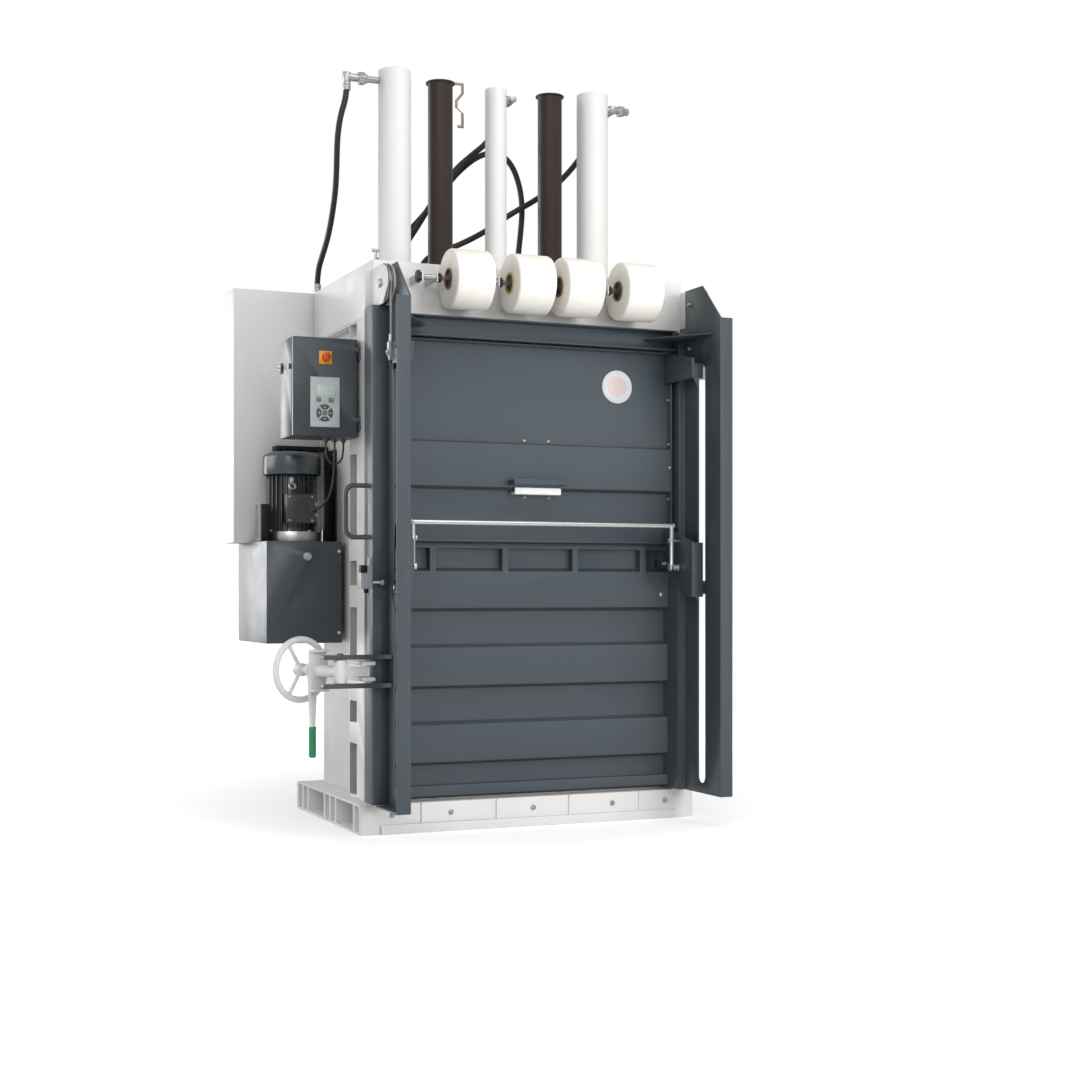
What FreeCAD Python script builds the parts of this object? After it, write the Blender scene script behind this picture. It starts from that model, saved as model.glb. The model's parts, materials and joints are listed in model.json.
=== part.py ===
import FreeCAD, Part
import math
import os
import re

import Sketcher

# Upright baling press, millimetres. X runs to the right along the front, Y to the back and Z up.
# The origin is on the floor, under the middle of the base frame. The whole dark front, with its two
# slotted guards, swings about a hinge on the right; the loading door slides down in front of it.

os.makedirs("parts", exist_ok=True)
doc = FreeCAD.newDocument("baling_press")
sheet = doc.addObject("Spreadsheet::Sheet", "sizes")

SIZES = {
    # press chamber and side posts
    "chamber_width": 1200, "chamber_front": -380, "chamber_back": 340, "wall_sheet": 6,
    "wall_rear": "=chamber_back + 28", "post_width": 44, "post_front": "=chamber_front - 72",
    "post_back": "=chamber_front + 235", "post_top": 1950,
    "window_front": "=post_back - 90", "window_bottom_sheet": 6,
    "window_low_1": 125, "window_high_1": 323, "window_low_2": 405, "window_high_2": 487,
    "window_low_3": 656, "window_high_3": 848, "window_low_4": 934, "window_high_4": 1028,
    "window_low_5": 1110, "window_high_5": 1440, "window_edge": 8,
    "window_low_6": "=post_top - 60", "window_high_6": "=post_top - window_edge",
    "back_slot": 34, "back_slot_low": 300, "back_slot_high": "=post_top - 200", "back_rib": 60,
    # base frame, a row of open tubes with two fork pockets
    "base_step": 50, "base_width": "=chamber_width + 2*(wall_sheet + post_width + base_step)",
    "base_depth": 880, "base_height": 113, "base_sheet": 8, "rail_opening": 58, "fork_pocket": 222,
    "lip_reach": 10, "lip_height": 36, "lip_inset": 80, "lip_width": "=base_width - 2*lip_inset",
    "rib_width": 6, "rib_pitch": 305,
    "floor_sheet": 12, "groove_width": 30, "groove_depth": 6, "groove_pitch": 260,
    # crosshead over the posts
    "head_height": 200, "head_top": "=post_top + head_height", "head_front": "=post_front + 12",
    "head_sheet": 10, "head_plate": 20,
    # cylinders, guide tubes and ram
    "total_height": 2985, "ram_line": -50, "cylinder_offset": 435, "cylinder_radius": 65,
    "cylinder_bore": 55, "cylinder_foot": 60, "cylinder_cap": 15, "gland_length": 45,
    "rod_radius": 30, "slim_radius": 44, "slim_bore": 35, "slim_drop": 25,
    "slim_top": "=total_height - slim_drop", "slim_rod": 20,
    "piston_length": 40, "piston_drop": 15, "collar_reach": 24, "collar_height": 15,
    "tube_offset": 241, "tube_radius": 50, "tube_bore": 42, "tube_drop": 30,
    "tube_top": "=total_height - tube_drop", "tube_cap": 6,
    "tube_cap_radius": 59, "bush_reach": 25, "bush_height": 35, "running_gap": 0.1,
    "plate_side_gap": 12, "plate_width": "=chamber_width - 2*plate_side_gap",
    "plate_front": "=chamber_front + 8", "plate_back": "=chamber_back - 8",
    "plate_drop": 60, "plate_bottom": "=post_top - plate_drop",
    "plate_sheet": 30, "plate_height": 120, "plate_rib": 40, "plate_rib_inset": 90,
    "strip_width": 6, "strip_sheet": 10, "strip_reach": 100, "strip_length": 172, "strip_step": 26,
    "strip_slot_gap": 8,
    # dark front door: guards, ducts, beam and ribbed bale door
    "guard_stand": 25, "guard_inner": "=chamber_width/2 + guard_stand", "guard_sheet": 6,
    "guard_front": "=post_front - 352", "guard_back": "=post_front - 65",
    "guard_bottom": "=base_height + 7", "flange_width": 54, "flange_top": "=post_top + 11",
    "guard_top": "=post_top + 155", "guard_top_front": "=guard_front + 146", "ledge_sheet": 6,
    "bar_width": 27, "bar_back": "=post_front - 6", "bar_top": "=post_top - 9",
    "slot_line": "=guard_front + 151", "slot_width": 57, "slot_bottom": "=guard_bottom + 40",
    "lead_length": 95, "lead_lower": "=lower_roller - 45", "lead_width": 50, "lead_angle": 42,
    "duct_side": 59, "right_duct_side": 36, "duct_front": "=duct_back - 100", "duct_back": "=post_front - 8",
    "duct_bottom": "=guard_bottom + ledge_sheet", "duct_top": "=post_top + 10", "duct_sheet": 3,
    "beam_front": "=beam_back - 55", "beam_back": "=post_front - 3", "beam_height": 80,
    "beam_top": "=post_top - 3", "beam_bottom": "=beam_top - beam_height", "beam_sheet": 6,
    "gusset_leg": 130, "gusset_depth": 240, "gusset_low": "=beam_top - 42",
    "door_half": "=guard_inner - bar_width", "door_face": "=door_skin - 45",
    "door_skin": "=chamber_front - 5", "door_sheet": 6, "door_bottom": "=guard_bottom + 1",
    "door_top": 1105, "door_rib_fold": 5, "door_rib_slope": 12, "door_end": 6,
    "rib_low_1": 133, "rib_high_1": 173, "rib_low_2": 261, "rib_high_2": 403,
    "rib_low_3": 551, "rib_high_3": 696, "rib_low_4": 846, "rib_high_4": 987,
    "upright_width": 26, "upright_pitch": 297, "upright_shift": 37, "top_fold_height": 30,
    "top_fold": "=door_top - top_fold_height",
    # hinge on the right
    "hinge_stand": 14, "hinge_x": "=guard_inner + guard_sheet + duct_side + hinge_stand",
    "hinge_y": "=post_front + 12", "knuckle_radius": 17, "hinge_pin_radius": 9,
    "knuckle_height": 60, "knuckle_gap": 0.5, "hinge_low": 250, "hinge_pitch": 675, "leaf_sheet": 10,
    # door pulleys, ropes and counterweights
    "rope_stand": 25, "rope_line": "=guard_inner + rope_stand", "pulley_drop": 70,
    "pulley_height": "=guard_top - pulley_drop", "rope_turn": 70, "rope_radius": 4,
    "pulley_rim": 75, "groove_width_rope": 10, "pulley_width": 16, "pulley_pin": 10,
    "pulley_space": 29,
    "cheek_sheet": 6, "cheek_back": "=duct_back - 4", "cheek_front": "=slot_line - 2",
    "cheek_corner": 55, "weight_gap": 6, "weight_bottom": "=duct_bottom + 14", "weight_height": 1150,
    # loading door
    "panel_gap": 10, "panel_half": "=guard_inner - bar_width - panel_gap",
    "panel_bottom": "=door_top - 6", "panel_top": "=beam_bottom - 5", "panel_front": "=post_front + 11",
    "panel_sheet": 6, "panel_face": "=panel_front - 39", "band_low": 1309, "band_high": 1474,
    "band_slope": 10, "arm_sheet": 12, "arm_front": "=slot_line - 25", "arm_plate": 6,
    "arm_outer": "=roller_start",
    "upper_arm_low": "=upper_roller - 25", "upper_arm_high": "=panel_top - 4",
    "upper_roller": "=panel_top - 97", "slot_top": "=upper_roller + 35", "lead_upper": "=slot_top - 78",
    "lower_arm_low": "=lower_roller - 37", "lower_arm_high": "=panel_bottom + 61",
    "lower_roller": "=panel_bottom - 174",
    "roller_radius": 27, "roller_width": 18, "roller_gap": 6,
    "roller_start": "=guard_inner - roller_gap", "roller_pin": 9,
    "eye_size": 18, "eye_height": 46,
    "handle_middle": -8, "handle_width": 222, "handle_reach": 58, "handle_bar": 8,
    "handle_low": "=band_low + 9", "handle_height": 20,
    "block_middle": 2, "block_width": 194, "block_height": 26, "block_low": "=band_low - block_height",
    "block_nose": 6,
    # bail bar
    "bail_inset": 51, "bail_half": "=panel_half - bail_inset", "bail_line": "=panel_face - 90",
    "bail_pivot": "=panel_bottom - 96", "bail_reach": 164, "bail_radius": 9, "bail_bolt": 12,
    # lock
    "lock_reach": 191, "lock_x": "=-(guard_inner + guard_sheet + lock_reach)",
    "lock_y": "=duct_front - 30", "lock_z": 620,
    "lock_arm_tail": 68, "lock_arm_end": "=lock_x - lock_arm_tail", "lock_arm_depth": 50,
    "lock_arm_sheet": 16, "lock_pin": 12, "barrel_radius": 24, "barrel_height": 84,
    "arm_gap": 88, "latch_size": 36, "latch_reach": 106, "spindle_turn": 110.7,
    "housing_radius": 22, "housing_length": 132, "stub_radius": 18, "stub_end": 184,
    "bracket_width": 74, "bracket_height": 155, "bracket_sheet": 10, "bracket_place": 132,
    "spindle_radius": 12, "wheel_place": 240, "wheel_radius": 112, "wheel_rim": 12,
    "hub_radius": 24, "hub_length": 34, "spoke_radius": 7,
    "lever_place": 158, "lever_width": 18, "lever_length": 320, "lever_eye": 30, "grip_radius": 11,
    "grip_length": 118, "catch_sheet": 14, "catch_width": 51,
    "catch_reach": "=-lock_x - latch_reach/2 - 24",
    # pull handle and limit switch on the left duct
    "pull_low": 1110, "pull_height": 190, "pull_reach": 88, "pull_radius": 9, "pull_bend": 34,
    "pull_line": "=duct_front + 50", "switch_z": 920, "switch_height": 84, "switch_width": 44,
    "switch_depth": 44, "switch_gap": 12, "switch_line": "=duct_front - 18", "plunger_radius": 6,
    "plunger_z": "=switch_z + 23", "plunger_length": 48, "plunger_roller": 12,
    "plunger_roller_width": 10,
    # strap rolls on the header
    "roll_radius": 112, "roll_width": 152, "roll_left_1": -396,
    "roll_left_2": -150, "roll_left_3": 54, "roll_left_4": 305, "roll_line": "=head_front - 120",
    "roll_height": "=head_top - 74", "roll_rod": 10, "roll_rod_end": 508, "holder_sheet": 5,
    "holder_depth": 34, "holder_gap": 45, "knob_radius": 19, "knob_width": 13, "knob_gap": 29,
    # tank housing, motor and valve block
    "tank_stand": 20, "tank_width": 306, "tank_right": "=-(chamber_width/2 + wall_sheet + tank_stand)",
    "tank_left": "=tank_right - tank_width", "tank_front": "=wall_rear - 328",
    "tank_back": "=cover_back - 7", "tank_bottom": 704,
    "tank_top": 1108, "tank_sheet": 4, "tank_lock_radius": 16,
    "motor_x": "=tank_right - 152", "motor_y": "=tank_front + 200", "motor_foot": 42,
    "motor_flange": 116, "motor_core": 88,
    "motor_fin": 103, "motor_fin_sheet": 4, "motor_fins": 28, "motor_height": 293,
    "motor_top": "=tank_top + motor_height",
    "cowl_radius": 117, "cowl_height": 92, "cowl_sheet": 3, "shaft_radius": 12, "shaft_seat": 40,
    "fan_radius": 96, "fan_height": 30, "fan_blades": 8,
    "terminal_width": 112, "terminal_height": 112, "terminal_depth": 64,
    "valve_left": "=tank_left + 2", "valve_width": 34, "valve_front": "=tank_front + 100",
    "valve_depth": 90, "valve_height": 150,
    # rear cover
    "cover_stand": 6, "cover_width": 373, "cover_right": "=-(chamber_width/2 + wall_sheet + cover_stand)",
    "cover_left": "=cover_right - cover_width", "cover_front": "=wall_rear + 4",
    "cover_back": "=cover_front + 145", "cover_sheet": 3,
    # control box
    "box_stand": 8, "box_width": 255,
    "box_right": "=-(chamber_width/2 + wall_sheet + post_width + box_stand)",
    "box_left": "=box_right - box_width", "box_front": "=box_back - 167", "box_back": "=post_back + 50",
    "box_bottom": 1497, "box_height": 374, "box_top": "=box_bottom + box_height",
    "box_sheet": 3, "lid_depth": 20, "lid_edge_gap": 3, "lid_hinge_radius": 4,
    "lid_hinge_out": 2, "lid_leaf": 3, "lid_leaf_width": 18,
    "lid_hinge_height": 50, "lid_hinge_inset": 28,
    "main_x": "=box_right - 130", "main_z": "=box_top - 76", "main_size": 50, "main_sheet": 4,
    "knob_grip": 16, "knob_reach": 26, "keypad_width": 114, "keypad_height": 189,
    "keypad_right": "=box_right - 75", "keypad_left": "=keypad_right - keypad_width",
    "keypad_low": "=box_bottom + 35", "keypad_high": "=keypad_low + keypad_height",
    "keypad_sheet": 4, "key_radius": 9, "start_x": "=keypad_right - 33.6", "key_pitch": 47.7,
    "stop_x": "=start_x - key_pitch", "key_z": "=keypad_low + 102.6",
    "pad_x": "=keypad_right - 58.6", "pad_z": "=keypad_low + 53", "pad_radius": 32, "centre_key": 9,
    "key_height": 4, "key_sink": 1.5,
    # fasteners
    "bolt_radius": 9, "bolt_height": 7, "tee_height": 42, "tee_radius": 6, "tee_bar": 26,
}

# Cells are named first, so that a formula may use a size that stands below it.
for row, name in enumerate(SIZES, 1):
    sheet.set(f"A{row}", name)
    sheet.setAlias(f"B{row}", name)
for row, value in enumerate(SIZES.values(), 1):
    sheet.set(f"B{row}", str(value))
doc.recompute()

AXES = {"X": FreeCAD.Rotation(FreeCAD.Vector(0, 1, 0), 90),
        "Y": FreeCAD.Rotation(FreeCAD.Vector(1, 0, 0), -90),
        "Z": FreeCAD.Rotation()}
NORMALS = {"YZ_Plane": "x", "XZ_Plane": "y", "XY_Plane": "z"}
nodes = {}


def ex(text):
    """Turns the names of sizes in a text into references to their cells."""
    return re.sub(r"[a-z_][a-z_0-9]*", lambda word: "sizes." + word.group()
                  if word.group() in SIZES else word.group(), str(text))


def bind(thing, **expressions):
    for name, text in expressions.items():
        thing.setExpression(name, ex(text))
    return thing


def move(thing, x, y, z):
    for axis, text in zip("xyz", (x, y, z)):
        thing.setExpression("Placement.Base." + axis, ex(text))
    return thing


def box(xs, ys, zs):
    """A block between pairs of positions along X, Y and Z."""
    block = doc.addObject("Part::Box", "block")
    bind(block, Length=f"({xs[1]}) - ({xs[0]})", Width=f"({ys[1]}) - ({ys[0]})",
         Height=f"({zs[1]}) - ({zs[0]})")
    return move(block, xs[0], ys[0], zs[0])


def rod(axis, radius, foot, length):
    """A round bar from its foot along X, Y or Z."""
    bar = doc.addObject("Part::Cylinder", "bar")
    bar.Placement = FreeCAD.Placement(FreeCAD.Vector(), AXES[axis])
    bind(bar, Radius=radius, Height=length)
    return move(bar, *foot)


def fuse(label, *pieces):
    whole = doc.addObject("Part::MultiFuse", label)
    whole.Shapes = list(pieces)
    return whole


def group(label, *pieces):
    whole = doc.addObject("Part::Compound", label)
    whole.Links = list(pieces)
    return whole


def cut(label, base, *tools):
    whole = doc.addObject("Part::Cut", label)
    whole.Base = base
    whole.Tool = tools[0] if len(tools) == 1 else fuse(label + "_tools", *tools)
    return whole


def mirror(label, source):
    """The same piece on the other side of the machine."""
    other = doc.addObject("Part::Mirroring", label)
    other.Source = source
    other.Normal = FreeCAD.Vector(1, 0, 0)
    return other


def pad(label, plane, outline, low, high):
    """A plate: an outline drawn on an origin plane, thick from low to high across it."""
    body = doc.addObject("PartDesign::Body", label)
    sketch = body.newObject("Sketcher::SketchObject", label + "_outline")
    origin = next(item for item in body.Origin.OriginFeatures if item.Role == plane)
    sketch.AttachmentSupport = [(origin, "")]
    sketch.MapMode = "FlatFace"
    count = len(outline)
    turn = 2 * math.pi / count
    start = [FreeCAD.Vector(math.cos(turn * index), math.sin(turn * index), 0)
             for index in range(count)]
    for index in range(count):
        sketch.addGeometry(Part.LineSegment(start[index], start[(index + 1) % count]))
    for index in range(count):
        sketch.addConstraint(Sketcher.Constraint("Coincident", index, 2, (index + 1) % count, 1))
    for index, corner in enumerate(outline):
        for kind, text in zip(("DistanceX", "DistanceY"), corner):
            place = sketch.addConstraint(Sketcher.Constraint(kind, -1, 1, index, 1, 1.0))
            sketch.setExpression(f"Constraints[{place}]", ex(text))
    plate = body.newObject("PartDesign::Pad", label + "_plate")
    plate.Profile = sketch
    bind(plate, Length=f"({high}) - ({low})")
    body.setExpression("Placement.Base." + NORMALS[plane], ex(high if plane == "XZ_Plane" else low))
    return body


def bolt(axis, x, y, z):
    """A round bolt head that stands on a face."""
    return rod(axis, "bolt_radius", (x, y, z), "bolt_height")


def node(thing, label=None):
    """Keeps a finished piece under its name, which is also the name of its file."""
    thing.Label = label or thing.Label
    nodes[thing.Label] = thing


def base_frame():
    half, deep = "base_width/2", "base_depth/2"
    web = "(base_depth - 5*rail_opening - 2*fork_pocket)/8"
    block = box(("-" + half, half), ("-" + deep, deep), (0, "base_height"))
    openings = []
    place = f"-{deep} + {web}"
    for width in ("rail_opening", "fork_pocket", "rail_opening", "rail_opening", "fork_pocket",
                  "rail_opening", "rail_opening"):
        openings.append(box((f"-{half} - 1", f"{half} + 1"), (place, f"{place} + {width}"),
                            ("base_sheet", "base_height - base_sheet")))
        place = f"{place} + {width} + {web}"
    frame = cut("base_tubes", block, *openings)
    lip = box(("-lip_width/2", "lip_width/2"), (f"-{deep} - lip_reach", f"-{deep}"), (0, "lip_height"))
    ribs = [box((f"{step}*rib_pitch - rib_width/2", f"{step}*rib_pitch + rib_width/2"),
                (f"-{deep} - lip_reach + 3", f"-{deep}"), ("lip_height", "base_height"))
            for step in (-1.5, -0.5, 0.5, 1.5)]
    floor = box(("-chamber_width/2", "chamber_width/2"), ("chamber_front", "chamber_back"),
                ("base_height", "base_height + floor_sheet"))
    grooves = [box((f"{step}*groove_pitch - groove_width/2", f"{step}*groove_pitch + groove_width/2"),
                   ("chamber_front - 1", "chamber_back + 1"),
                   ("base_height + floor_sheet - groove_depth", "base_height + floor_sheet + 1"))
               for step in (-1.5, -0.5, 0.5, 1.5)]
    node(fuse("base_frame", frame, lip, cut("grooved_floor", floor, *grooves), *ribs))


def side(label):
    """A chamber wall with the windowed post that stands outside it."""
    inner = "chamber_width/2"
    face = f"{inner} + wall_sheet + post_width"
    wall = box((f"-({inner} + wall_sheet)", f"-{inner}"), ("chamber_front", "wall_rear"),
               ("base_height", "post_top"))
    post = box((f"-({face})", f"-({inner} + wall_sheet)"), ("post_front", "post_back"),
               ("base_height", "post_top"))
    windows = [box((f"-({face}) - 1", f"-({inner} + wall_sheet + window_bottom_sheet)"),
                   ("window_front", "post_back + 1"), (f"window_low_{count}", f"window_high_{count}"))
               for count in range(1, 7)]
    return fuse(label, wall, cut(label + "_post", post, *windows))


def catch_plate(low):
    """A bent plate on the left post that reaches forward round the duct to the latch bar."""
    face = "chamber_width/2 + wall_sheet + post_width"
    arm = box(("-catch_reach", f"-({face})"), ("post_front", "post_front + catch_sheet"),
              (low, f"{low} + catch_sheet"))
    fork = box(("-catch_reach", "-catch_reach + catch_width"), ("lock_y - latch_size/2", "post_front"),
               (low, f"{low} + catch_sheet"))
    return fuse("catch_plate", arm, fork)


def hinge_levels():
    return [f"hinge_low + {step}*hinge_pitch" for step in range(3)]


def frame_hinges():
    """Lower knuckles with their pins, on leaves from the right post."""
    face = "chamber_width/2 + wall_sheet + post_width"
    pieces = []
    for low in hinge_levels():
        pieces.append(rod("Z", "knuckle_radius", ("hinge_x", "hinge_y", low), "knuckle_height"))
        pieces.append(rod("Z", "hinge_pin_radius", ("hinge_x", "hinge_y", low),
                          "2*knuckle_height + knuckle_gap"))
        pieces.append(box((face, "hinge_x"), ("hinge_y + knuckle_radius - leaf_sheet",
                                              "hinge_y + knuckle_radius"), (low, f"{low} + knuckle_height")))
    return pieces


def chamber():
    node(fuse("left_side", side("left_wall"), catch_plate("lock_z - latch_size/2 - 4 - catch_sheet"),
              catch_plate("lock_z + latch_size/2 + 4")))
    node(fuse("right_side", mirror("right_wall", side("right_wall_source")), *frame_hinges()))
    half = "chamber_width/2"
    sheet_back = box(("-" + half, half), ("chamber_back", "chamber_back + wall_sheet"),
                     ("base_height", "post_top"))
    slots = [box((f"{step}*groove_pitch - back_slot/2", f"{step}*groove_pitch + back_slot/2"),
                 ("chamber_back - 1", "chamber_back + wall_sheet + 1"), ("back_slot_low", "back_slot_high"))
             for step in (-1.5, -0.5, 0.5, 1.5)]
    ribs = [box((f"{step}*groove_pitch - back_rib/2", f"{step}*groove_pitch + back_rib/2"),
                ("chamber_back + wall_sheet", "wall_rear"), ("base_height", "post_top"))
            for step in (-2, -1, 0, 1, 2)]
    node(fuse("back_wall", cut("back_sheet", sheet_back, *slots), *ribs))


def crosshead():
    half = "chamber_width/2 + wall_sheet + post_width"
    shell = box((f"-({half})", half), ("head_front", "wall_rear"), ("post_top", "head_top"))
    inside = box((f"-({half}) + head_sheet", f"{half} - head_sheet"),
                 ("head_front + head_sheet", "wall_rear - head_sheet"),
                 ("post_top - 1", "head_top - head_plate"))
    low = "head_top - head_plate - 1"
    deep = "head_plate + 2"
    holes = [inside]
    for sign in ("-", ""):
        holes.append(rod("Z", "cylinder_radius + 3*running_gap",
                         (sign + "cylinder_offset", "ram_line", low), deep))
        holes.append(rod("Z", "tube_radius + running_gap",
                         (sign + "tube_offset", "ram_line", low), deep))
    holes.append(rod("Z", "slim_radius + 3*running_gap", (0, "ram_line", low), deep))
    holes.append(box(("-tube_offset + tube_cap_radius - strip_slot_gap/2",
                      "-tube_offset + strip_reach + strip_slot_gap"),
                     ("ram_line - strip_width/2 - strip_slot_gap",
                      "ram_line + strip_width/2 + strip_slot_gap"), (low, "head_top + 1")))
    frame = cut("head_frame", shell, *holes)
    bushes = [cut("bush", rod("Z", "tube_radius + bush_reach",
                              (sign + "tube_offset", "ram_line", "head_top"), "bush_height"),
                  rod("Z", "tube_radius + running_gap",
                      (sign + "tube_offset", "ram_line", "head_top - 1"), "bush_height + 2"),
                  box(("-tube_offset + tube_cap_radius - strip_slot_gap/2",
                       "-tube_offset + strip_reach + strip_slot_gap"),
                      ("ram_line - strip_width/2 - strip_slot_gap",
                       "ram_line + strip_width/2 + strip_slot_gap"), ("head_top - 1", "head_top + 90")))
              for sign in ("-", "")]
    node(fuse("crosshead", frame, *bushes))


def barrel(x, radius, bore, top, rod_size):
    """A closed cylinder with its gland and the collar that sits on the crosshead."""
    foot = "head_top - cylinder_foot"
    tube = rod("Z", radius, (x, "ram_line", foot), f"{top} - ({foot})")
    collar = rod("Z", f"{radius} + collar_reach", (x, "ram_line", "head_top"), "collar_height")
    hollow = rod("Z", bore, (x, "ram_line", f"{foot} + gland_length"),
                 f"{top} - cylinder_cap - ({foot} + gland_length)")
    passage = rod("Z", f"{rod_size} + running_gap", (x, "ram_line", f"{foot} - 1"), "gland_length + 2")
    return cut("barrel", fuse("barrel_outside", tube, collar), hollow, passage)


def cylinders():
    big = ("cylinder_radius", "cylinder_bore", "total_height", "rod_radius")
    node(group("cylinder_barrels", barrel("-cylinder_offset", *big), barrel("cylinder_offset", *big),
               barrel(0, "slim_radius", "slim_bore", "slim_top", "slim_rod")))


def piston_rod(x, bore, top, rod_size):
    start = "plate_bottom + plate_height"
    head = f"{top} - cylinder_cap - piston_drop - piston_length"
    return fuse("piston_rod", rod("Z", rod_size, (x, "ram_line", start), f"{head} - ({start})"),
                rod("Z", f"{bore} - running_gap", (x, "ram_line", head), "piston_length"))


def guide_tube(x):
    start = "plate_bottom + plate_height"
    tube = rod("Z", "tube_radius", (x, "ram_line", start), f"tube_top - ({start})")
    hollow = rod("Z", "tube_bore", (x, "ram_line", f"{start} + 20"), f"tube_top - ({start})")
    cap = rod("Z", "tube_cap_radius", (x, "ram_line", "tube_top"), "tube_cap")
    return fuse("guide_tube", cut("tube_wall", tube, hollow), cap)


def ram():
    half = "plate_width/2"
    top = "plate_bottom + plate_height"
    sheet_low = box(("-" + half, half), ("plate_front", "plate_back"),
                    ("plate_bottom", "plate_bottom + plate_sheet"))
    grooves = [box((f"{step}*groove_pitch - groove_width/2", f"{step}*groove_pitch + groove_width/2"),
                   ("plate_front - 1", "plate_back + 1"), ("plate_bottom - 1", "plate_bottom + groove_depth"))
               for step in (-1.5, -0.5, 0.5, 1.5)]
    beams = [box((f"-{half} + plate_rib_inset", f"{half} - plate_rib_inset"), span,
                 ("plate_bottom + plate_sheet", top))
             for span in (("plate_front", "plate_front + plate_rib"),
                          ("ram_line - 1.5*plate_rib", "ram_line + 1.5*plate_rib"),
                          ("plate_back - plate_rib", "plate_back"))]
    node(fuse("press_plate", cut("pressing_sheet", sheet_low, *grooves), *beams))
    node(group("piston_rods",
               piston_rod("-cylinder_offset", "cylinder_bore", "total_height", "rod_radius"),
               piston_rod("cylinder_offset", "cylinder_bore", "total_height", "rod_radius"),
               piston_rod(0, "slim_bore", "slim_top", "slim_rod")))
    node(group("guide_tubes", guide_tube("-tube_offset"), guide_tube("tube_offset")))
    cap_top = "tube_top + tube_cap"
    right = "-tube_offset + strip_reach"
    low = f"{cap_top} - strip_length"
    wide = ("ram_line - strip_width/2", "ram_line + strip_width/2")
    outline = ((f"{right} - strip_sheet", cap_top), (right, cap_top),
               (right, f"{cap_top} - 0.2*strip_length"),
               (f"{right} - strip_step", f"{cap_top} - 0.38*strip_length"),
               (f"{right} - strip_step", f"{cap_top} - 0.55*strip_length"),
               (right, f"{cap_top} - 0.66*strip_length"), (right, low),
               (f"{right} - strip_step", low), (f"{right} - strip_step", f"{low} + strip_sheet"),
               (f"{right} - strip_sheet", f"{low} + strip_sheet"),
               (f"{right} - strip_sheet", f"{cap_top} - 0.64*strip_length"),
               (f"{right} - strip_step - strip_sheet", f"{cap_top} - 0.53*strip_length"),
               (f"{right} - strip_step - strip_sheet", f"{cap_top} - 0.36*strip_length"),
               (f"{right} - strip_sheet", f"{cap_top} - 0.18*strip_length"))
    tab = box(("-tube_offset", right), wide, (cap_top, f"{cap_top} + strip_sheet"))
    node(fuse("switch_strip", pad("strip_bend", "XZ_Plane", outline, *wide), tab))


def lead_slot(low):
    """A slot branch that leaves the main slot upwards and backwards."""
    branch = doc.addObject("Part::Box", "branch")
    branch.Placement = FreeCAD.Placement(FreeCAD.Vector(),
                                         FreeCAD.Rotation(FreeCAD.Vector(1, 0, 0), -SIZES["lead_angle"]))
    bind(branch, Length="guard_sheet + 2", Width="lead_width", Height="lead_length")
    return move(branch, "-(guard_inner + guard_sheet) - 1", "slot_line - lead_width/2", low)


def guard(label):
    plate = pad(label + "_plate", "YZ_Plane",
                (("guard_back", "guard_bottom"), ("guard_front", "guard_bottom"),
                 ("guard_front", "flange_top"), ("guard_top_front", "guard_top"),
                 ("guard_back", "guard_top")), "-(guard_inner + guard_sheet)", "-guard_inner")
    across = ("-(guard_inner + guard_sheet) - 1", "-guard_inner + 1")
    foot = "slot_bottom + slot_width/2"
    head = "slot_top - slot_width/2"
    slots = [box(across, ("slot_line - slot_width/2", "slot_line + slot_width/2"), (foot, head)),
             rod("X", "slot_width/2", (across[0], "slot_line", foot), "guard_sheet + 2"),
             rod("X", "slot_width/2", (across[0], "slot_line", head), "guard_sheet + 2"),
             lead_slot("lead_upper"), lead_slot("lead_lower")]
    flange = box(("-(guard_inner + flange_width)", "-guard_inner"),
                 ("guard_front", "guard_front + guard_sheet"), ("guard_bottom", "flange_top"))
    ledge = box(("-(guard_inner + flange_width)", "-(guard_inner + guard_sheet)"),
                ("guard_front", "duct_front"), ("guard_bottom", "guard_bottom + ledge_sheet"))
    bar = box(("-guard_inner", "-guard_inner + bar_width"), ("guard_back", "bar_back"),
              ("guard_bottom", "bar_top"))
    link = box(("-(guard_inner + guard_sheet)", "-guard_inner"), ("guard_back", "bar_back"),
               ("guard_bottom", "bar_top"))
    return fuse(label, cut(label + "_slotted", plate, *slots), flange, ledge, bar, link)


def door_knuckles():
    """Upper knuckles on the dark front, which sit on the frame's pins."""
    face = "guard_inner + guard_sheet + duct_side"
    rings = []
    for low in hinge_levels():
        start = f"{low} + knuckle_height + knuckle_gap"
        leaf = box((face, f"{face} + leaf_sheet"), ("duct_back - knuckle_radius", "hinge_y"),
                   (start, f"{start} + knuckle_height"))
        reach = box(("guard_inner + guard_sheet + right_duct_side", f"{face} + leaf_sheet"),
                    ("duct_back - knuckle_radius", "duct_back - knuckle_radius + leaf_sheet"),
                    (start, f"{start} + knuckle_height"))
        ring = rod("Z", "knuckle_radius", ("hinge_x", "hinge_y", start), "knuckle_height")
        hole = rod("Z", "hinge_pin_radius + running_gap", ("hinge_x", "hinge_y", f"{start} - 1"),
                   "knuckle_height + 2")
        rings.append(cut("door_knuckle", fuse("knuckle_solid", leaf, reach, ring), hole))
    return rings


def duct(side):
    inner, outer = "guard_inner + guard_sheet", f"guard_inner + guard_sheet + {side}"
    tube = box((f"-({outer})", f"-({inner})"), ("duct_front", "duct_back"), ("duct_bottom", "duct_top"))
    hollow = box((f"-({outer}) + duct_sheet", f"-({inner}) - duct_sheet"),
                 ("duct_front + duct_sheet", "duct_back - duct_sheet"),
                 ("duct_bottom + duct_sheet", "duct_top + 1"))
    return cut("duct", tube, hollow)


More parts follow.
